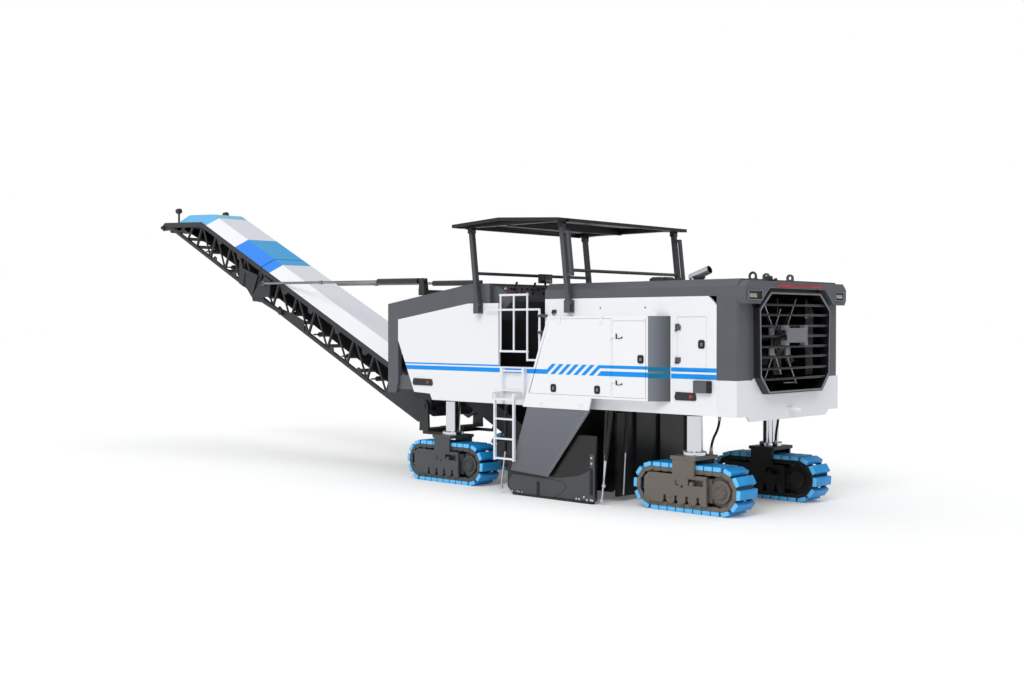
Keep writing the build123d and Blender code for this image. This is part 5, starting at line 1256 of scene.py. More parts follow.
@dataclass
class Tail:
    """Rear face: louvred grille, lamps, brake light, fan guard and roof fittings."""

    x: float = TAIL_X
    face_x: float = -7.428
    wall_x: float = -7.336
    guard_x: float = -7.190
    mount: Pair = (0.030, 2.265)
    plate_at: Pair = (0.082, 2.350)
    light: tuple[Pair, ...] = (
        (0.590, 2.998), (0.440, 3.018), (-0.420, 3.016), (-0.690, 3.000), (-0.560, 2.984), (0.470, 2.984),
    )  # fmt: skip
    opening: tuple[Pair, ...] = ((0.612, 2.893), (0.872, 2.672), (0.850, 1.835), (0.655, 1.620))
    cut_out: tuple[Pair, ...] = ((0.707, 2.970), (0.947, 2.755), (0.947, 1.765), (0.765, 1.540))
    louvres: tuple[float, ...] = (1.780, 1.918, 2.069, 2.204, 2.342, 2.476, 2.620, 2.752)

    @staticmethod
    def octagon(half: Sequence[Pair], grow: float = 0.0) -> list[Pair]:
        """All eight corners (Y, Z) of an opening, grown outwards on both axes."""
        right = [(y + grow, z + grow * (1 if z > 2.2 else -1)) for y, z in half]
        return right + [(-y, z) for y, z in reversed(right)]

    @staticmethod
    def band(
        near: Sequence[Pair],
        far: Sequence[Pair],
        xs: Pair,
        picked: Iterable[int] = range(8),
    ) -> Piece:
        """Frame between two octagons, whole or on some of its sides.

        Args:
            near: Inner corners.
            far: Outer corners.
            xs: Rear and front of the frame.
            picked: Sides that are made, counted from the upper left chamfer.

        Returns:
            The frame.
        """
        parts = []
        for index in picked:
            after = (index + 1) % 8
            corners = [far[index], far[after], near[after], near[index]]
            parts.append(Bench.prism("band", [(xs[0], y, z) for y, z in corners], (xs[1] - xs[0], 0, 0)))
        return Bench.join("band", parts)

    def reach(self, z: float) -> float:
        """Half width of the opening at a height."""
        points = sorted(self.opening, key=lambda point: point[1])
        for (y0, z0), (y1, z1) in zip(points, points[1:]):
            if z0 <= z <= z1:
                return y0 + (y1 - y0) * (z - z0) / (z1 - z0)
        return points[0][0]

    def grille(self) -> None:
        """Octagonal bezel with a thin bright rim, its surround and the louvres, with painted highlights on the rim, the
        louvres and the brow and painted shade in the duct and above the louvres.
        """
        inner, wall = self.octagon(self.opening, -0.002), self.octagon(self.opening, 0.032)
        hole = self.octagon(self.cut_out)
        slats = [self.band(inner, wall, (self.face_x, -7.296))]
        for z in self.louvres:
            half = self.reach(z) + 0.004
            slat = Bench.block("louvre", (-7.415, -half, z - 0.011), (-7.335, half, z + 0.011), 0.004)
            with Bench.editing(slat, lambda middle, normal: normal.x < -0.7):
                bpy.ops.transform.translate(value=(0, 0, -0.006))
            slats.append(slat)
        made = Bench.finish("tail_grille", slats, GRILLE, "chassis", Slot.DARK, 25.0)
        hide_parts("radiator_grille")
        # Painted shade: a near-black lining inside the duct behind the grille.
        tunnel = self.band(self.octagon(self.opening, 0.004), self.octagon(self.opening, 0.016), (-7.296, -7.180))
        tunnel.name = "duct_lining"
        Bench.dress(tunnel, INSIDE_SHADE, "chassis", Slot.DARK, 25.0)
        # A real thin rim round the opening, painted light grey as the painted highlight along the bezel's edge.
        rim = self.band(inner, self.octagon(self.opening, 0.018), (self.face_x - 0.005, self.face_x + 0.001))
        rim.name = "bezel_rim"
        Bench.dress(rim, HOOD_EDGE_AND_HIGHLIGHT, "chassis", Slot.GREY, 25.0)
        # Painted shade: the band above the louvres is black, standing for the shade in the recess under the brow; the
        # sides and bottom take the hood grey and white paint.
        for name, finish, slot, front, sides in (
            ("surround_top", BLACK_AND_SHADE, Slot.DARK, self.wall_x - 0.020, (0, 7, 6)),
            ("surround_side", HOOD, Slot.GREY, self.wall_x - 0.002, (1, 5)),
            ("surround_low", WHITE, Slot.WHITE, self.wall_x - 0.002, (2, 3, 4)),
        ):
            panel = self.band(wall, hole, (front, -7.300), sides)
            panel.name = name
            Bench.dress(panel, finish, "chassis", slot, 25.0)
        # Painted highlights: light grey rods along the louvres' top edges and along the brow's edge.
        lights = [
            Bench.rod("louvre_edge", (-7.409, -self.reach(z) * 0.98, z + 0.009), (-7.409, -0.25, z + 0.009), 0.0035, 8)
            for z in self.louvres
        ]
        edge = [(self.x - 0.001, y, z) for y, z in (hole[1], hole[0], hole[7], hole[6])]
        lights += Bench.path("brow_edge", edge, 0.0045)
        Bench.finish("louvre_edges", lights, HOOD_EDGE_AND_HIGHLIGHT, slot=Slot.GREY)

    def lamp(self, name: str, ys: Pair, zs: Pair, lens: Sequence[float]) -> None:
        """Rectangular work lamp: rim, black recess and clear lens."""
        outline = [(self.x + 0.001, y, z) for y, z in ((ys[0], zs[0]), (ys[1], zs[0]), (ys[1], zs[1]), (ys[0], zs[1]))]
        Bench.dress(Bench.ring(f"{name}_rim", outline, 0.010, (-0.018, 0, 0)), HOOD_EDGE_AND_HIGHLIGHT, slot=Slot.GREY)
        lip = 0.009
        low, high = (self.x - 0.004, ys[0] + lip, zs[0] + lip), (self.x + 0.001, ys[1] - lip, zs[1] - lip)
        back = Bench.block(f"{name}_recess", low, high)
        Bench.inset(back, lambda middle, normal: normal.x < -SQUARE, 0.004, -0.001)
        Bench.dress(back, BLACK_AND_SHADE)
        low, high = (self.x - 0.014, lens[0], lens[2]), (self.x - 0.003, lens[1], lens[3])
        glass = Bench.block(f"{name}_lens", low, high, 0.004)
        Bench.dress(glass, GLASS_CLEAR, slot=Slot.POLISHED)

    def guard(self) -> None:
        """Fan guard: rods in a V from each block of the motor mount."""
        y0, z0 = self.mount
        x = self.guard_x
        rods, blocks = [], []
        for out in (-1, 1):
            for up in (-1, 1):
                spans = [((0.165, 0.17), (0.425, 0.58))]
                if out > 0:
                    spans.append(((0.125, 0.17), (-0.03, 0.44)))
                for start, end in spans:
                    near = (x, y0 + out * start[0], z0 + up * start[1])
                    far = (x + 0.004 * up, y0 + out * end[0], z0 + up * end[1])
                    rods.append(Bench.rod("guard_rod", near, far, 0.010, 12))
                y, z = y0 + out * 0.2, z0 + up * 0.135
                low, high = (x - 0.014, y - 0.06, z - 0.05), (x + 0.014, y + 0.06, z + 0.05)
                blocks.append(Bench.block("lug", low, high, 0.008))
        rods.append(Bench.rod("guard_rod", (x, -0.08, 1.708), (x, -0.36, 1.700), 0.010, 12))
        Bench.finish("fan_guard_rods", rods, BRIGHT, slot=Slot.POLISHED)
        Bench.finish("fan_mount_blocks", blocks, RIM_AND_HIGHLIGHT, slot=Slot.GREY)
        steps = [(0, 0.15), (0.020, 0.15), (0.026, 0.12), (0.040, 0.11), (0.046, 0.06), (0.056, 0.05)]
        motor = [Bench.turned("motor", (x + 0.012, y0, z0), (-1, 0, 0), steps, 36)]
        for dy in (-0.2, 0.2):
            low, high = (x - 0.008, y0 + dy - 0.028, z0 - 0.13), (x + 0.008, y0 + dy + 0.028, z0 + 0.13)
            motor.append(Bench.block("motor_bar", low, high, 0.004))
        for dz in (-0.08, 0.08):
            low, high = (x - 0.006, y0 - 0.2, z0 + dz - 0.018), (x + 0.010, y0 + 0.2, z0 + dz + 0.018)
            motor.append(Bench.block("motor_bar", low, high, 0.004))
        Bench.finish("fan_motor_mount", motor, GRILLE, slot=Slot.IRON)

    def blank_plate(self) -> None:
        """Bare plate on four corner brackets in the middle of the louvres."""
        y, z = self.plate_at
        plate = Bench.block("grille_plate", (-7.500, y - 0.255, z - 0.097), (-7.486, y + 0.255, z + 0.097), 0.004)
        Bench.inset(plate, lambda middle, normal: normal.x < -SQUARE, 0.010, -0.003)
        lugs = [plate]
        for dy in (-0.235, 0.235):
            for dz in (-0.1, 0.1):
                low = (-7.490, y + dy - 0.042, z + dz - 0.032)
                high = (-7.412, y + dy + 0.042, z + dz + 0.032)
                lugs.append(Bench.block("plate_lug", low, high, 0.004))
        Bench.finish("grille_plate", lugs, PLATE, slot=Slot.GREY)

    def brow_light(self) -> None:
        """Slim red light strip between the brow and the bezel."""
        strip = Bench.prism("brake_light", [(self.x + 0.002, y, z) for y, z in self.light], (-0.016, 0, 0), 0.002)
        Bench.dress(strip, GLASS_RED)

    def roof(self) -> None:
        """Filler cap, folded arm, vent and the exhaust's collar on the rear roof."""
        steps = [(0, 0.07), (0.03, 0.07), (0.032, 0.085), (0.060, 0.085), (0.068, 0.076)]
        cap = Bench.turned("filler_cap", (-6.42, 0.80, 3.078), UPWARDS, steps, 28)
        base = Bench.block("filler_base", (-6.54, 0.66, 3.074), (-6.30, 0.94, 3.090), 0.006)
        Bench.finish("filler_cap", [cap, base], DARK)
        arm = Bench.rod("folded_arm", (-7.10, 0.50, 3.085), (-7.43, 0.50, 3.072), 0.011, 12)
        block = Bench.block("arm_block", (-7.36, 0.470, 3.060), (-7.27, 0.530, 3.128), 0.008)
        tip = Bench.block("arm_tip", (-7.435, 0.480, 3.060), (-7.405, 0.520, 3.098), 0.005)
        Bench.finish("folded_arm", [arm, block, tip], DARK)
        base = Bench.block("ring_base", (-7.33, 0.775, 3.060), (-7.19, 0.825, 3.092), 0.006)
        ring = Bench.eyelet("lashing_ring", (-7.262, 0.80, 3.118), (0.048, 0.016), (28, 10))
        Bench.finish("lashing_ring", [base, ring], DARK)
        steps = [(0, 0.16), (0.012, 0.16), (0.014, 0.11), (0.030, 0.10)]
        collar = Bench.turned("exhaust_collar", (-6.02, 0.35, 3.078), UPWARDS, steps, 32)
        Bench.dress(collar, DARK)
        vent = Bench.block("roof_vent", (-5.86, 0.55, 3.076), (-5.62, 0.85, 3.130), 0.012)
        Bench.inset(vent, lambda middle, normal: normal.z > SQUARE, 0.03, 0.012)
        Bench.dress(vent, DARK)

    def build(self) -> None:
        """Makes the whole tail."""
        self.lamp("tail_lamp_left", (0.890, 1.225), (2.806, 2.932), (1.028, 1.192, 2.838, 2.890))
        self.lamp("tail_lamp_right", (-1.190, -0.950), (2.820, 2.942), (-1.150, -0.990, 2.855, 2.905))
        self.grille()
        self.guard()
        self.blank_plate()
        self.brow_light()
        self.roof()


@dataclass
class Platform:
    """Operator's place: knobs, lever, screen and seats."""

    desk_y: Pair = (0.30, 1.15)
    slope_low: Pair = (-3.325, 2.905)
    slope_high: Pair = (-3.045, 3.070)
    knob_columns: int = 7
    deck_z: float = 1.870
    seat_at: Pair = (-3.81, 0.76)

    def on_desk(self, share: float) -> Pair:
        """X and Z on the sloping desk, from its low edge (0) to its high edge (1)."""
        (x0, z0), (x1, z1) = self.slope_low, self.slope_high
        return (x0 + (x1 - x0) * share, z0 + (z1 - z0) * share)

    def controls(self, side: Side) -> None:
        """Rows of knobs and two levers on one desk."""
        (x0, z0), (x1, z1) = self.slope_low, self.slope_high
        normal = Vector((-(z1 - z0), 0, x1 - x0)).normalized()
        reds, whites, blacks = [], [], []
        for row, share in enumerate((0.35, 0.75)):
            for column in range(self.knob_columns):
                low, high = self.desk_y
                y = side.value * (low + 0.08 + column * (high - low - 0.12) / (self.knob_columns - 1))
                x, z = self.on_desk(share)
                steps = [(0, 0.020), (0.006, 0.020), (0.007, 0.014), (0.024, 0.013), (0.028, 0.009)]
                knob = Bench.turned("knob", (x, y, z - 0.002), normal, steps, 12)
                kind = (row * self.knob_columns + column) % 5
                (reds if kind == 1 else whites if kind == 3 else blacks).append(knob)
        word = side.word
        body = "chassis"
        Bench.finish(f"desk_knobs_red_{word}", reds, KNOB_RED, body)
        Bench.finish(f"desk_knobs_white_{word}", whites, KNOB_WHITE, body, Slot.WHITE)
        levers = []
        for y in (0.52, 0.93):
            x, z = self.on_desk(0.72)
            steps = [(0, 0.030), (0.012, 0.030), (0.02, 0.009), (0.09, 0.008)]
            steps += [(0.095, 0.017), (0.125, 0.018), (0.135, 0.010)]
            levers.append(Bench.turned("lever", (x, side.value * y, z - 0.002), normal, steps, 14))
        Bench.finish(f"desk_controls_{word}", blacks + levers, BLACK_AND_SHADE, body, Slot.RUBBER)

    def screen(self) -> None:
        """Glass of the display, set in its housing."""
        low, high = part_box("display_monitor")
        x, side_rim, top_rim, height = low.x, 0.02, 0.020, 0.115
        near = (x - 0.002, low.y + side_rim, high.z - top_rim - height)
        glass = Bench.block("display_glass", near, (x + 0.008, high.y - side_rim, high.z - top_rim), 0.003)
        Bench.dress(glass, SCREEN)

    def pad(self, name: str, size: Point, crown: float) -> Piece:
        """Seat pad about the origin, swollen by a short cloth run.

        Args:
            name: Name of the pad.
            size: Its full size.
            crown: How far its faces may swell.

        Returns:
            The finished pad.
        """
        low = [-value / 2 for value in size]
        high = [value / 2 for value in size]
        pad = Bench.block(name, low, high, 0.022)
        Bench.take(pad)
        remesh = pad.modifiers.new("even", "REMESH")
        remesh.mode = "VOXEL"
        remesh.voxel_size = 0.012
        bpy.ops.object.modifier_apply(modifier="even")
        start = [vertex.co.copy() for vertex in pad.data.vertices]
        cloth = pad.modifiers.new("stuffing", "CLOTH")
        cloth.settings.use_pressure = True
        cloth.settings.uniform_pressure_force = 4.0
        cloth.settings.effector_weights.gravity = 0.0
        scene = bpy.context.scene
        for step in range(1, 13):
            scene.frame_set(step)
        Bench.take(pad)
        bpy.ops.object.modifier_apply(modifier="stuffing")
        scene.frame_set(1)
        for vertex, before in zip(pad.data.vertices, start):
            shift = vertex.co - before
            if shift.length > crown:
                vertex.co = before + shift.normalized() * crown
            edge = min(high[0] - abs(before.x), high[1] - abs(before.y))
            for seam in (-0.25, 0.25):
                near = abs(before.y - seam * size[1])
                if near < 0.012 and edge > 0.03:
                    vertex.co.z -= math.copysign(0.006 * (1 - near / 0.012), before.z)
        return pad

    def seats(self) -> None:
        """Two seats: padded base and back on a pedestal."""
        deck_z, (base_x, seat_y) = self.deck_z, self.seat_at
        for side in Side:
            y = side.value * seat_y
            base = self.pad(f"seat_base_{side.word}", (0.40, 0.42, 0.075), 0.012)
            base.data.transform(Matrix.Translation((base_x + 0.01, y, deck_z + 0.468)))
            back = self.pad(f"seat_back_{side.word}", (0.42, 0.40, 0.070), 0.010)
            back.data.transform(moved(base_x - 0.165, y, deck_z + 0.735, 90))
            for cushion in (base, back):
                Bench.dress(cushion, VINYL, "chassis", Slot.VINYL, 60.0)
            steps = [(0, 0.14), (0.012, 0.14), (0.02, 0.058), (0.30, 0.058)]
            steps += [(0.305, 0.075), (0.36, 0.075), (0.425, 0.12)]
            post = Bench.turned(f"seat_post_{side.word}", (base_x, y, deck_z + 0.001), UPWARDS, steps, 28)
            Bench.dress(post, DARK)
        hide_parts("operator_seats")

    def build(self) -> None:
        """Makes controls, screen and seats."""
        for side in Side:
            self.controls(side)
        self.screen()
        self.seats()


# ---------------------------------------------------------------- milling gear
@dataclass
class MillingGear:
    """Drum tools, edge plate overlays and bolts, shield rim and height rods."""

    drum_x: float = -4.220
    drum_z: float = 0.560
    tube_radius: float = 0.395
    drum_y: Pair = (-1.030, 0.890)
    picks_count: int = 132
    plate_y: float = 1.390
    lowest_z: float = 0.034
    rear_overlay: tuple[Pair, ...] = (
        (1.345, 0.062), (1.345, 0.695), (1.440, 0.695), (1.442, 0.480), (1.470, 0.455), (1.627, 0.382),
        (1.966, 0.324), (2.25, 0.300), (2.25, 0.036), (1.372, 0.036),
    )  # fmt: skip
    front_overlay: tuple[Pair, ...] = (
        (2.206, 0.013), (2.10, 0.030), (1.965, 0.105), (1.895, 0.160), (1.873, 0.203), (1.900, 0.245),
        (1.966, 0.274), (2.206, 0.287), (2.90, 0.305), (2.99, 0.200), (2.99, 0.110), (2.89, 0.034),
    )  # fmt: skip
    bolts: tuple[Pair, ...] = (
        (1.384, 0.052), (1.415, 0.058), (1.485, 0.052), (1.626, 0.052), (1.678, 0.052), (1.54, 0.088),
        (2.713, 0.052), (2.775, 0.052), (2.812, 0.058), (2.911, 0.056), (1.405, 0.642), (1.405, 0.565),
    )  # fmt: skip
    slots: tuple[tuple[float, float, float, float], ...] = ((1.407, 0.127, 0.497, 0.026), (2.400, 0.040, 0.238, 0.030))
    rim_ends: tuple[Pair, Pair] = ((1.412, 1.292), (2.172, 0.330))
    rod_y: float = 1.372
    rod_lines: tuple[tuple[Pair, Pair, float], ...] = (
        ((1.075, 1.300), (1.238, 0.090), 0.56),
        ((1.150, 1.300), (1.205, 0.300), 0.60),
    )

    def pick(self) -> Piece:
        """One tool: holder block with a pointed pick, radial along +Z and leaning to +X."""
        holder = Bench.block("holder", (-0.035, -0.022, -0.01), (0.035, 0.022, 0.050))
        with Bench.editing(holder, lambda middle, normal: normal.z > SQUARE):
            bpy.ops.transform.resize(value=(0.62, 0.8, 1.0), center_override=(0.008, 0, 0.05))
        steps = [(0, 0.013), (0.020, 0.013), (0.022, 0.019), (0.030, 0.019), (0.062, 0.006)]
        point = Bench.turned("point", (0.004, 0, 0.036), (0.35, 0, 1), steps, 8)
        return Bench.join("pick", [holder, point])

    def picks(self) -> None:
        """Tools along two helices that carry the cut material to the middle."""
        places = []
        low, high = self.drum_y
        turn_per_metre, starts = 430, 3
        for index in range(self.picks_count):
            y = low + (high - low) * (index / (self.picks_count - 1))
            angle = abs(y - (low + high) / 2) * turn_per_metre + (index % starts) * 360 / starts
            turn = Matrix.Rotation(math.radians(angle), 4, "Y")
            out = Matrix.Translation((0, 0, self.tube_radius - 0.004))
            places.append(Matrix.Translation((self.drum_x, y, self.drum_z)) @ turn @ out)
        Bench.dress(Bench.copies("drum_picks", self.pick(), places), CARBIDE, "drum", Slot.STEEL, 25.0)

    def overlays(self) -> None:
        """Raised plates of the left edge plate: the slotted rear one and the round-ended front one."""
        x0, face = REAR_COLUMN_X, self.plate_y
        made = []
        for outline, depth in ((self.rear_overlay, 0.006), (self.front_overlay, 0.011)):
            points = [(x0 + x, face - 0.001, max(z, self.lowest_z)) for x, z in outline]
            made.append(Bench.prism("overlay", points, (0, depth + 0.001, 0), 0.0015))
        made.append(Bench.block("stiffener", (x0 + 1.345, face - 0.001, 0.10), (x0 + 1.368, face + 0.016, 0.70), 0.004))
        Bench.finish("edge_overlays", made, SKID, "edge_left", Slot.DARK, 20.0)
        # A black line along the front overlay's edge: its joint, darkened as the painted shadow of the raised edge.
        seam = [(x0 + x, face + 0.007, max(z, self.lowest_z + 0.002)) for x, z in self.front_overlay[:8]]
        Bench.finish("overlay_seam", Bench.path("seam", seam, 0.004), BLACK_AND_SHADE, "edge_left")

    def edge_bolts(self) -> None:
        """Bright bolt heads in groups along the left edge plate, and its slots as thin black sheets of painted shade.
        """
        x0, face = REAR_COLUMN_X, self.plate_y + 0.008
        places = [moved(x0 + x, face, z) for x, z in self.bolts]
        bolts = Bench.copies("edge_bolts", bolt("edge_bolt", 0.0125, 0.012, LEFTWARDS), places)
        Bench.dress(bolts, BRIGHT, "edge_left", Slot.STEEL)
        # Painted shade: black sheets on the plate stand for the shade inside the slots.
        slots = []
        for x, low, high, half in self.slots:
            top = [(x - half, low), (x - half, high - 0.02), (x - half * 0.4, high), (x + half, high), (x + half, low)]
            points = [(x0 + px, face + 0.0035, pz) for px, pz in top]
            slots.append(Bench.prism("slot", points, (0, 0.0015, 0)))
        Bench.finish("edge_slots", slots, BLACK_AND_SHADE, "edge_left", Slot.DARK, 0.0)

    def shield_rim(self) -> None:
        """Folded rear edge of the shield, painted near black as painted shade, with its bright double line of painted
        highlight.
        """
        x0 = REAR_COLUMN_X
        high, low = self.rim_ends
        way = Vector((low[0] - high[0], 0, low[1] - high[1])).normalized()
        side = Vector((-way.z, 0, way.x))
        thickness, inner_y, outer_y = 0.012, 1.410, 1.4505
        corners = [
            (x0 + point[0] + side.x * gap, inner_y, point[1] + side.z * gap)
            for point, gap in ((high, 0.0), (low, 0.0), (low, thickness), (high, thickness))
        ]
        fold = Bench.prism("shield_fold", corners, (0, outer_y - inner_y, 0))
        # Painted shade: the fold's rear-facing wall is near black, as the shade on it.
        Bench.dress(fold, GRILLE)
        # Painted highlight: two light grey lines along the shield's edge.
        lines = []
        for gap in (0.004, -0.020):
            start = (x0 + high[0] - side.x * gap, 1.4515, high[1] - side.z * gap)
            end = (x0 + low[0] - side.x * gap, 1.4515, low[1] - side.z * gap)
            lines.append(Bench.rod("edge_line", start, end, 0.0035, 8))
        Bench.finish("shield_edge_lines", lines, RIM_AND_HIGHLIGHT, slot=Slot.GREY)

    @staticmethod
    def knob(end: Sequence[float], radius: float) -> Piece:
        """Round foot under a rod's end."""
        steps = [(0, 0.014), (0.01, radius), (0.04, radius), (0.05, 0.016)]
        return Bench.turned("rod_knob", end, DOWNWARDS, steps, 16)

    def rods(self) -> None:
        """Height rods of the edge plate: dark tubes with polished lower ends."""
        y = self.rod_y
        polished, tubes = [], []
        for top, bottom, share in self.rod_lines:
            start = Vector((REAR_COLUMN_X + top[0], y, top[1]))
            end = Vector((REAR_COLUMN_X + bottom[0], y, bottom[1]))
            knee = start.lerp(end, share)
            tubes.append(Bench.rod("rod_tube", start, knee, 0.026, 18))
            polished.append(Bench.rod("rod_end", knee, end, 0.012, 14))
            polished.append(self.knob(end, 0.026))
        start, end = Vector((REAR_COLUMN_X + 1.165, 0.90, 1.300)), Vector((REAR_COLUMN_X + 1.235, 0.90, 0.100))
        knee = start.lerp(end, 0.5)
        tubes.append(Bench.rod("rod_tube", start, knee, 0.030, 18))
        polished.append(Bench.rod("rod_end", knee, end, 0.012, 14))
        start, end = (REAR_COLUMN_X + 3.085, y, 0.62), (REAR_COLUMN_X + 3.165, y, 0.110)
        polished.append(Bench.rod("rod_end", start, end, 0.012, 14))
        polished.append(self.knob(end, 0.028))
        tubes.append(Bench.rod("rod_tube", (REAR_COLUMN_X + 3.062, y, 1.300), start, 0.024, 18))
        Bench.finish("height_rods", polished, BRIGHT, slot=Slot.POLISHED)
        Bench.finish("height_tubes", tubes, BLACK_AND_SHADE)

    def build(self) -> None:
        """Makes the tools, the edge plate's fittings and the height rods."""
        self.picks()
        self.overlays()
        self.edge_bolts()
        self.shield_rim()
        self.rods()


# ---------------------------------------------------------------- conveyor
@dataclass
class Conveyor:
    """Belt ribs, return rollers, gussets and fold cylinder of the discharge conveyor."""

    belt_top: float = 0.090
    cleat_pitch: float = 0.24
    roller_h: float = -0.262

    def cleat(self) -> Piece:
        """One chevron rib across the belt, pointing along +X at the origin."""
        corners = [(-0.10, 0.36), (0.10, 0.0), (-0.10, -0.36), (-0.13, -0.36), (0.06, 0.0), (-0.13, 0.36)]
        return Bench.prism("cleat", [(x, y, 0.0) for x, y in corners], (0, 0, 0.016), 0.003)

    def cleats(self, name: str, body: str, low: float, high: float) -> None:
        """Ribs on one stretch of the belt."""
        count = int((high - low) / self.cleat_pitch)
        tilt = Matrix.Rotation(-CONVEYOR_SLOPE, 4, "Y")
        places = []
        for index in range(count):
            s = low + (index + 0.5) * (high - low) / count
            places.append(Matrix.Translation(on_conveyor(s, self.belt_top - 0.001)) @ tilt)
        Bench.dress(Bench.copies(name, self.cleat(), places), BELT, body, Slot.RUBBER)

    def rollers(self, name: str, body: str, stations: Iterable[float]) -> None:
        """Return rollers under the belt, on their shafts."""
        parts = []
        for s in stations:
            for label, half, radius, sides in (("roller", 0.430, 0.045, 20), ("roller_shaft", 0.545, 0.014, 10)):
                ends = [on_conveyor(s, self.roller_h, y) for y in (-half, half)]
                parts.append(Bench.rod(label, *ends, radius, sides))
        Bench.finish(name, parts, DARK, body, Slot.STEEL)

    def gussets(self, name: str, body: str, stations: Iterable[float]) -> None:
        """Triangular plates where the posts meet the chords."""
        parts = []
        for s in stations:
            for side in Side:
                y = side.value * 0.600
                for h, up in ((-0.283, 1), (0.144, -1)):
                    corners = [(s - 0.10, h), (s + 0.10, h), (s + 0.035, h + up * 0.085), (s - 0.035, h + up * 0.085)]
                    points = [on_conveyor(a, b, y - side.value * 0.014) for a, b in corners]
                    parts.append(Bench.prism("gusset", points, (0, side.value * 0.010, 0), 0.002))
        Bench.finish(name, parts, TRUSS, body, Slot.DARK, 25.0)

    def fold_cylinder(self) -> None:
        """Barrel of the fold cylinder and its bracket on the inner frame, on the left."""
        y = 0.612
        ends = on_conveyor(4.304, -0.265, y + 0.02), on_conveyor(4.860, -0.308, y + 0.02)
        barrel = Bench.rod("barrel", *ends, 0.042, 24)
        eye = Bench.turned("barrel_eye", on_conveyor(4.27, -0.262, y - 0.02), LEFTWARDS, [(0, 0.05), (0.08, 0.05)], 20)
        outline = [(4.329, -0.212), (4.300, -0.300), (3.987, -0.323), (3.506, -0.299), (3.590, -0.121), (3.98, -0.15)]
        points = [on_conveyor(s, h, y - 0.013) for s, h in outline]
        bracket = Bench.prism("barrel_bracket", points, (0, 0.014, 0), 0.003)
        Bench.finish("fold_cylinder", [bracket, barrel, eye], DARK, "conveyor_inner")

    def build(self) -> None:
        """Makes the belt's ribs, rollers, gussets and the fold cylinder."""
        self.cleats("belt_ribs_inner", "conveyor_inner", 0.15, 5.15)
        self.cleats("belt_ribs_outer", "conveyor_outer", 5.35, 7.40)
        self.rollers("return_rollers_inner", "conveyor_inner", (1.5, 2.4, 3.3, 4.2, 5.0))
        self.rollers("return_rollers_outer", "conveyor_outer", (5.6, 6.4, 7.2))
        self.gussets("gussets_inner", "conveyor_inner", (1.81, 2.66, 3.52, 4.38))
        self.gussets("gussets_outer", "conveyor_outer", (6.03, 6.78))
        self.fold_cylinder()


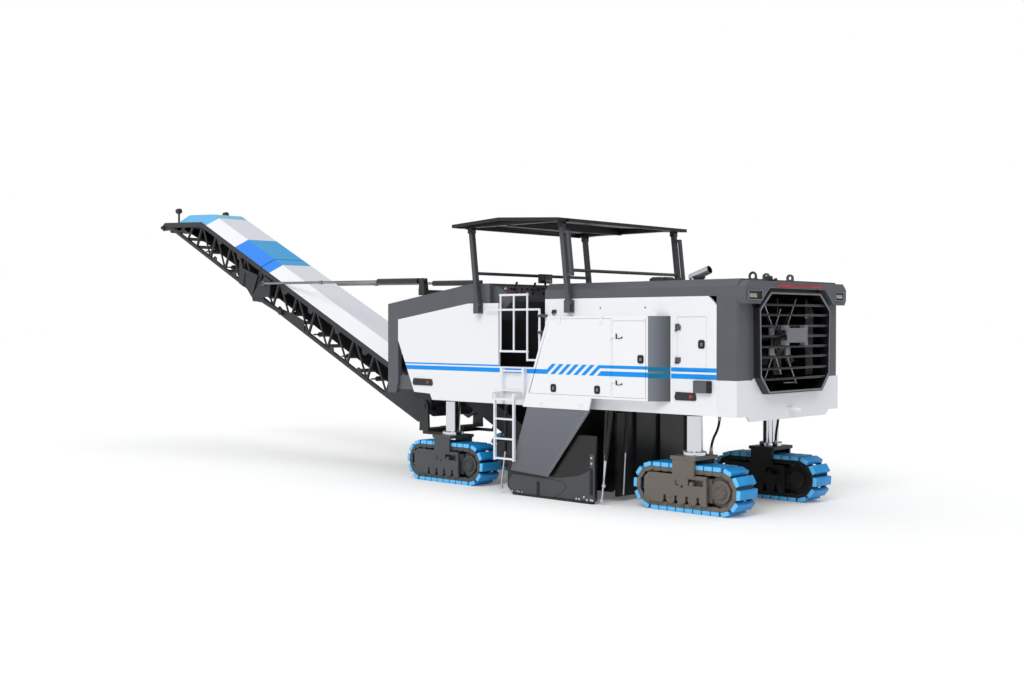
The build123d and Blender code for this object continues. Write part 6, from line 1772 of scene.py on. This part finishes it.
# ---------------------------------------------------------------- studio
@dataclass
class Studio:
    """Camera, pale floor and soft lights."""

    camera_at: Point = (-16.208, 14.741, 2.482)
    camera_turn: Point = (89.262, 0.0, -136.457)
    lens: float = 44.12
    sensor: float = 36.0
    floor_half: float = 160.0
    bright_way: Point = (0.10, 0.80, 0.59)
    world_low: float = 0.36
    world_high: float = 0.70
    lamps: tuple[tuple[str, float, float, float, float], ...] = (
        ("key", 1.02, 108.0, 44.0, 30.0),
        ("top", 0.60, 200.0, 72.0, 50.0),
    )

    def camera(self) -> None:
        """Camera at the reference view."""
        data = bpy.data.cameras.new("view")
        data.lens = self.lens
        data.sensor_width = self.sensor
        data.clip_end = 1000.0
        camera = bpy.data.objects.new("view", data)
        camera.location = self.camera_at
        camera.rotation_euler = Euler([math.radians(value) for value in self.camera_turn])
        bpy.context.collection.objects.link(camera)
        bpy.context.scene.camera = camera

    def floor(self) -> None:
        """Pale floor that keeps the machine's shadow and fades to white."""
        Bench.clear()
        bpy.ops.mesh.primitive_plane_add(size=2 * self.floor_half)
        floor = bpy.context.object
        floor.name = "floor"
        material = bpy.data.materials.new("floor_pale")
        material.use_nodes = True
        tree = material.node_tree
        shader = tree.nodes["Principled BSDF"]
        shader.inputs["Base Color"].default_value = (0.94, 0.945, 0.95, 1.0)
        shader.inputs["Roughness"].default_value = 0.9
        shader.inputs["Specular IOR Level"].default_value = 0.0
        glow = tree.nodes.new("ShaderNodeEmission")
        glow.inputs["Strength"].default_value = 0.10
        add = tree.nodes.new("ShaderNodeAddShader")
        path = tree.nodes.new("ShaderNodeLightPath")
        choose = tree.nodes.new("ShaderNodeMixShader")
        tree.links.new(shader.outputs[0], add.inputs[0])
        tree.links.new(glow.outputs[0], add.inputs[1])
        tree.links.new(path.outputs["Is Camera Ray"], choose.inputs[0])
        tree.links.new(shader.outputs[0], choose.inputs[1])
        tree.links.new(add.outputs[0], choose.inputs[2])
        tree.links.new(choose.outputs[0], tree.nodes["Material Output"].inputs["Surface"])
        floor.data.materials.append(material)

    def world(self) -> None:
        """Surroundings: white for the eye, brighter towards the machine's left as light and gloss."""
        world = bpy.data.worlds.new("surroundings")
        bpy.context.scene.world = world
        world.use_nodes = True
        tree = world.node_tree
        background = tree.nodes["Background"]
        path = tree.nodes.new("ShaderNodeLightPath")
        place = tree.nodes.new("ShaderNodeTexCoord")
        facing = tree.nodes.new("ShaderNodeVectorMath")
        facing.operation = "DOT_PRODUCT"
        facing.inputs[1].default_value = self.bright_way
        tree.links.new(place.outputs["Generated"], facing.inputs[0])
        level = tree.nodes.new("ShaderNodeMapRange")
        level.interpolation_type = "SMOOTHSTEP"
        numbers = (("From Min", -0.35), ("From Max", 0.85), ("To Min", self.world_low), ("To Max", self.world_high))
        for name, number in numbers:
            level.inputs[name].default_value = number
        tree.links.new(facing.outputs["Value"], level.inputs["Value"])
        seen = tree.nodes.new("ShaderNodeMath")
        seen.operation = "MAXIMUM"
        tree.links.new(path.outputs["Is Camera Ray"], seen.inputs[0])
        tree.links.new(path.outputs["Is Transmission Ray"], seen.inputs[1])
        strength = tree.nodes.new("ShaderNodeMix")
        tree.links.new(seen.outputs[0], strength.inputs[0])
        tree.links.new(level.outputs["Result"], strength.inputs[2])
        strength.inputs[3].default_value = 1.0
        tree.links.new(strength.outputs[0], background.inputs["Strength"])
        background.inputs["Color"].default_value = (1.0, 1.0, 1.0, 1.0)

    def lamp(self, name: str, strength: float, azimuth: float, elevation: float, spread: float) -> None:
        """Soft sun from a compass direction.

        Args:
            name: Name of the lamp.
            strength: Its strength.
            azimuth: Direction that it comes from, in degrees from +X towards +Y.
            elevation: Its height over the horizon in degrees.
            spread: Angular size in degrees, which softens the shadow.
        """
        data = bpy.data.lights.new(name, "SUN")
        data.energy = strength
        data.angle = math.radians(spread)
        lamp = bpy.data.objects.new(name, data)
        a, e = math.radians(azimuth), math.radians(elevation)
        way = Vector((math.cos(a) * math.cos(e), math.sin(a) * math.cos(e), math.sin(e)))
        lamp.rotation_euler = way.to_track_quat("Z", "Y").to_euler()
        bpy.context.collection.objects.link(lamp)

    def build(self) -> None:
        """Sets the stage."""
        self.camera()
        self.floor()
        self.world()
        for lamp in self.lamps:
            self.lamp(*lamp)
        bpy.context.scene.view_settings.view_transform = "Standard"


def corners(box: tuple[Vector, Vector]) -> list[list[float]]:
    """The two corners of a box as plain lists."""
    return [[float(value) for value in corner] for corner in box]


def main() -> None:
    """Builds the sub-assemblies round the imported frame."""
    logging.basicConfig(level=logging.INFO, format="%(name)s %(message)s")
    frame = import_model()
    Studio().build()
    Dresser(frame).build()
    for assembly in (Hoses(), Tracks(), SideFittings(), Tail(), Platform(), MillingGear(), Conveyor()):
        assembly.build()
        LOG.info("built %s", type(assembly).__name__)


if __name__ == "__main__":
    main()
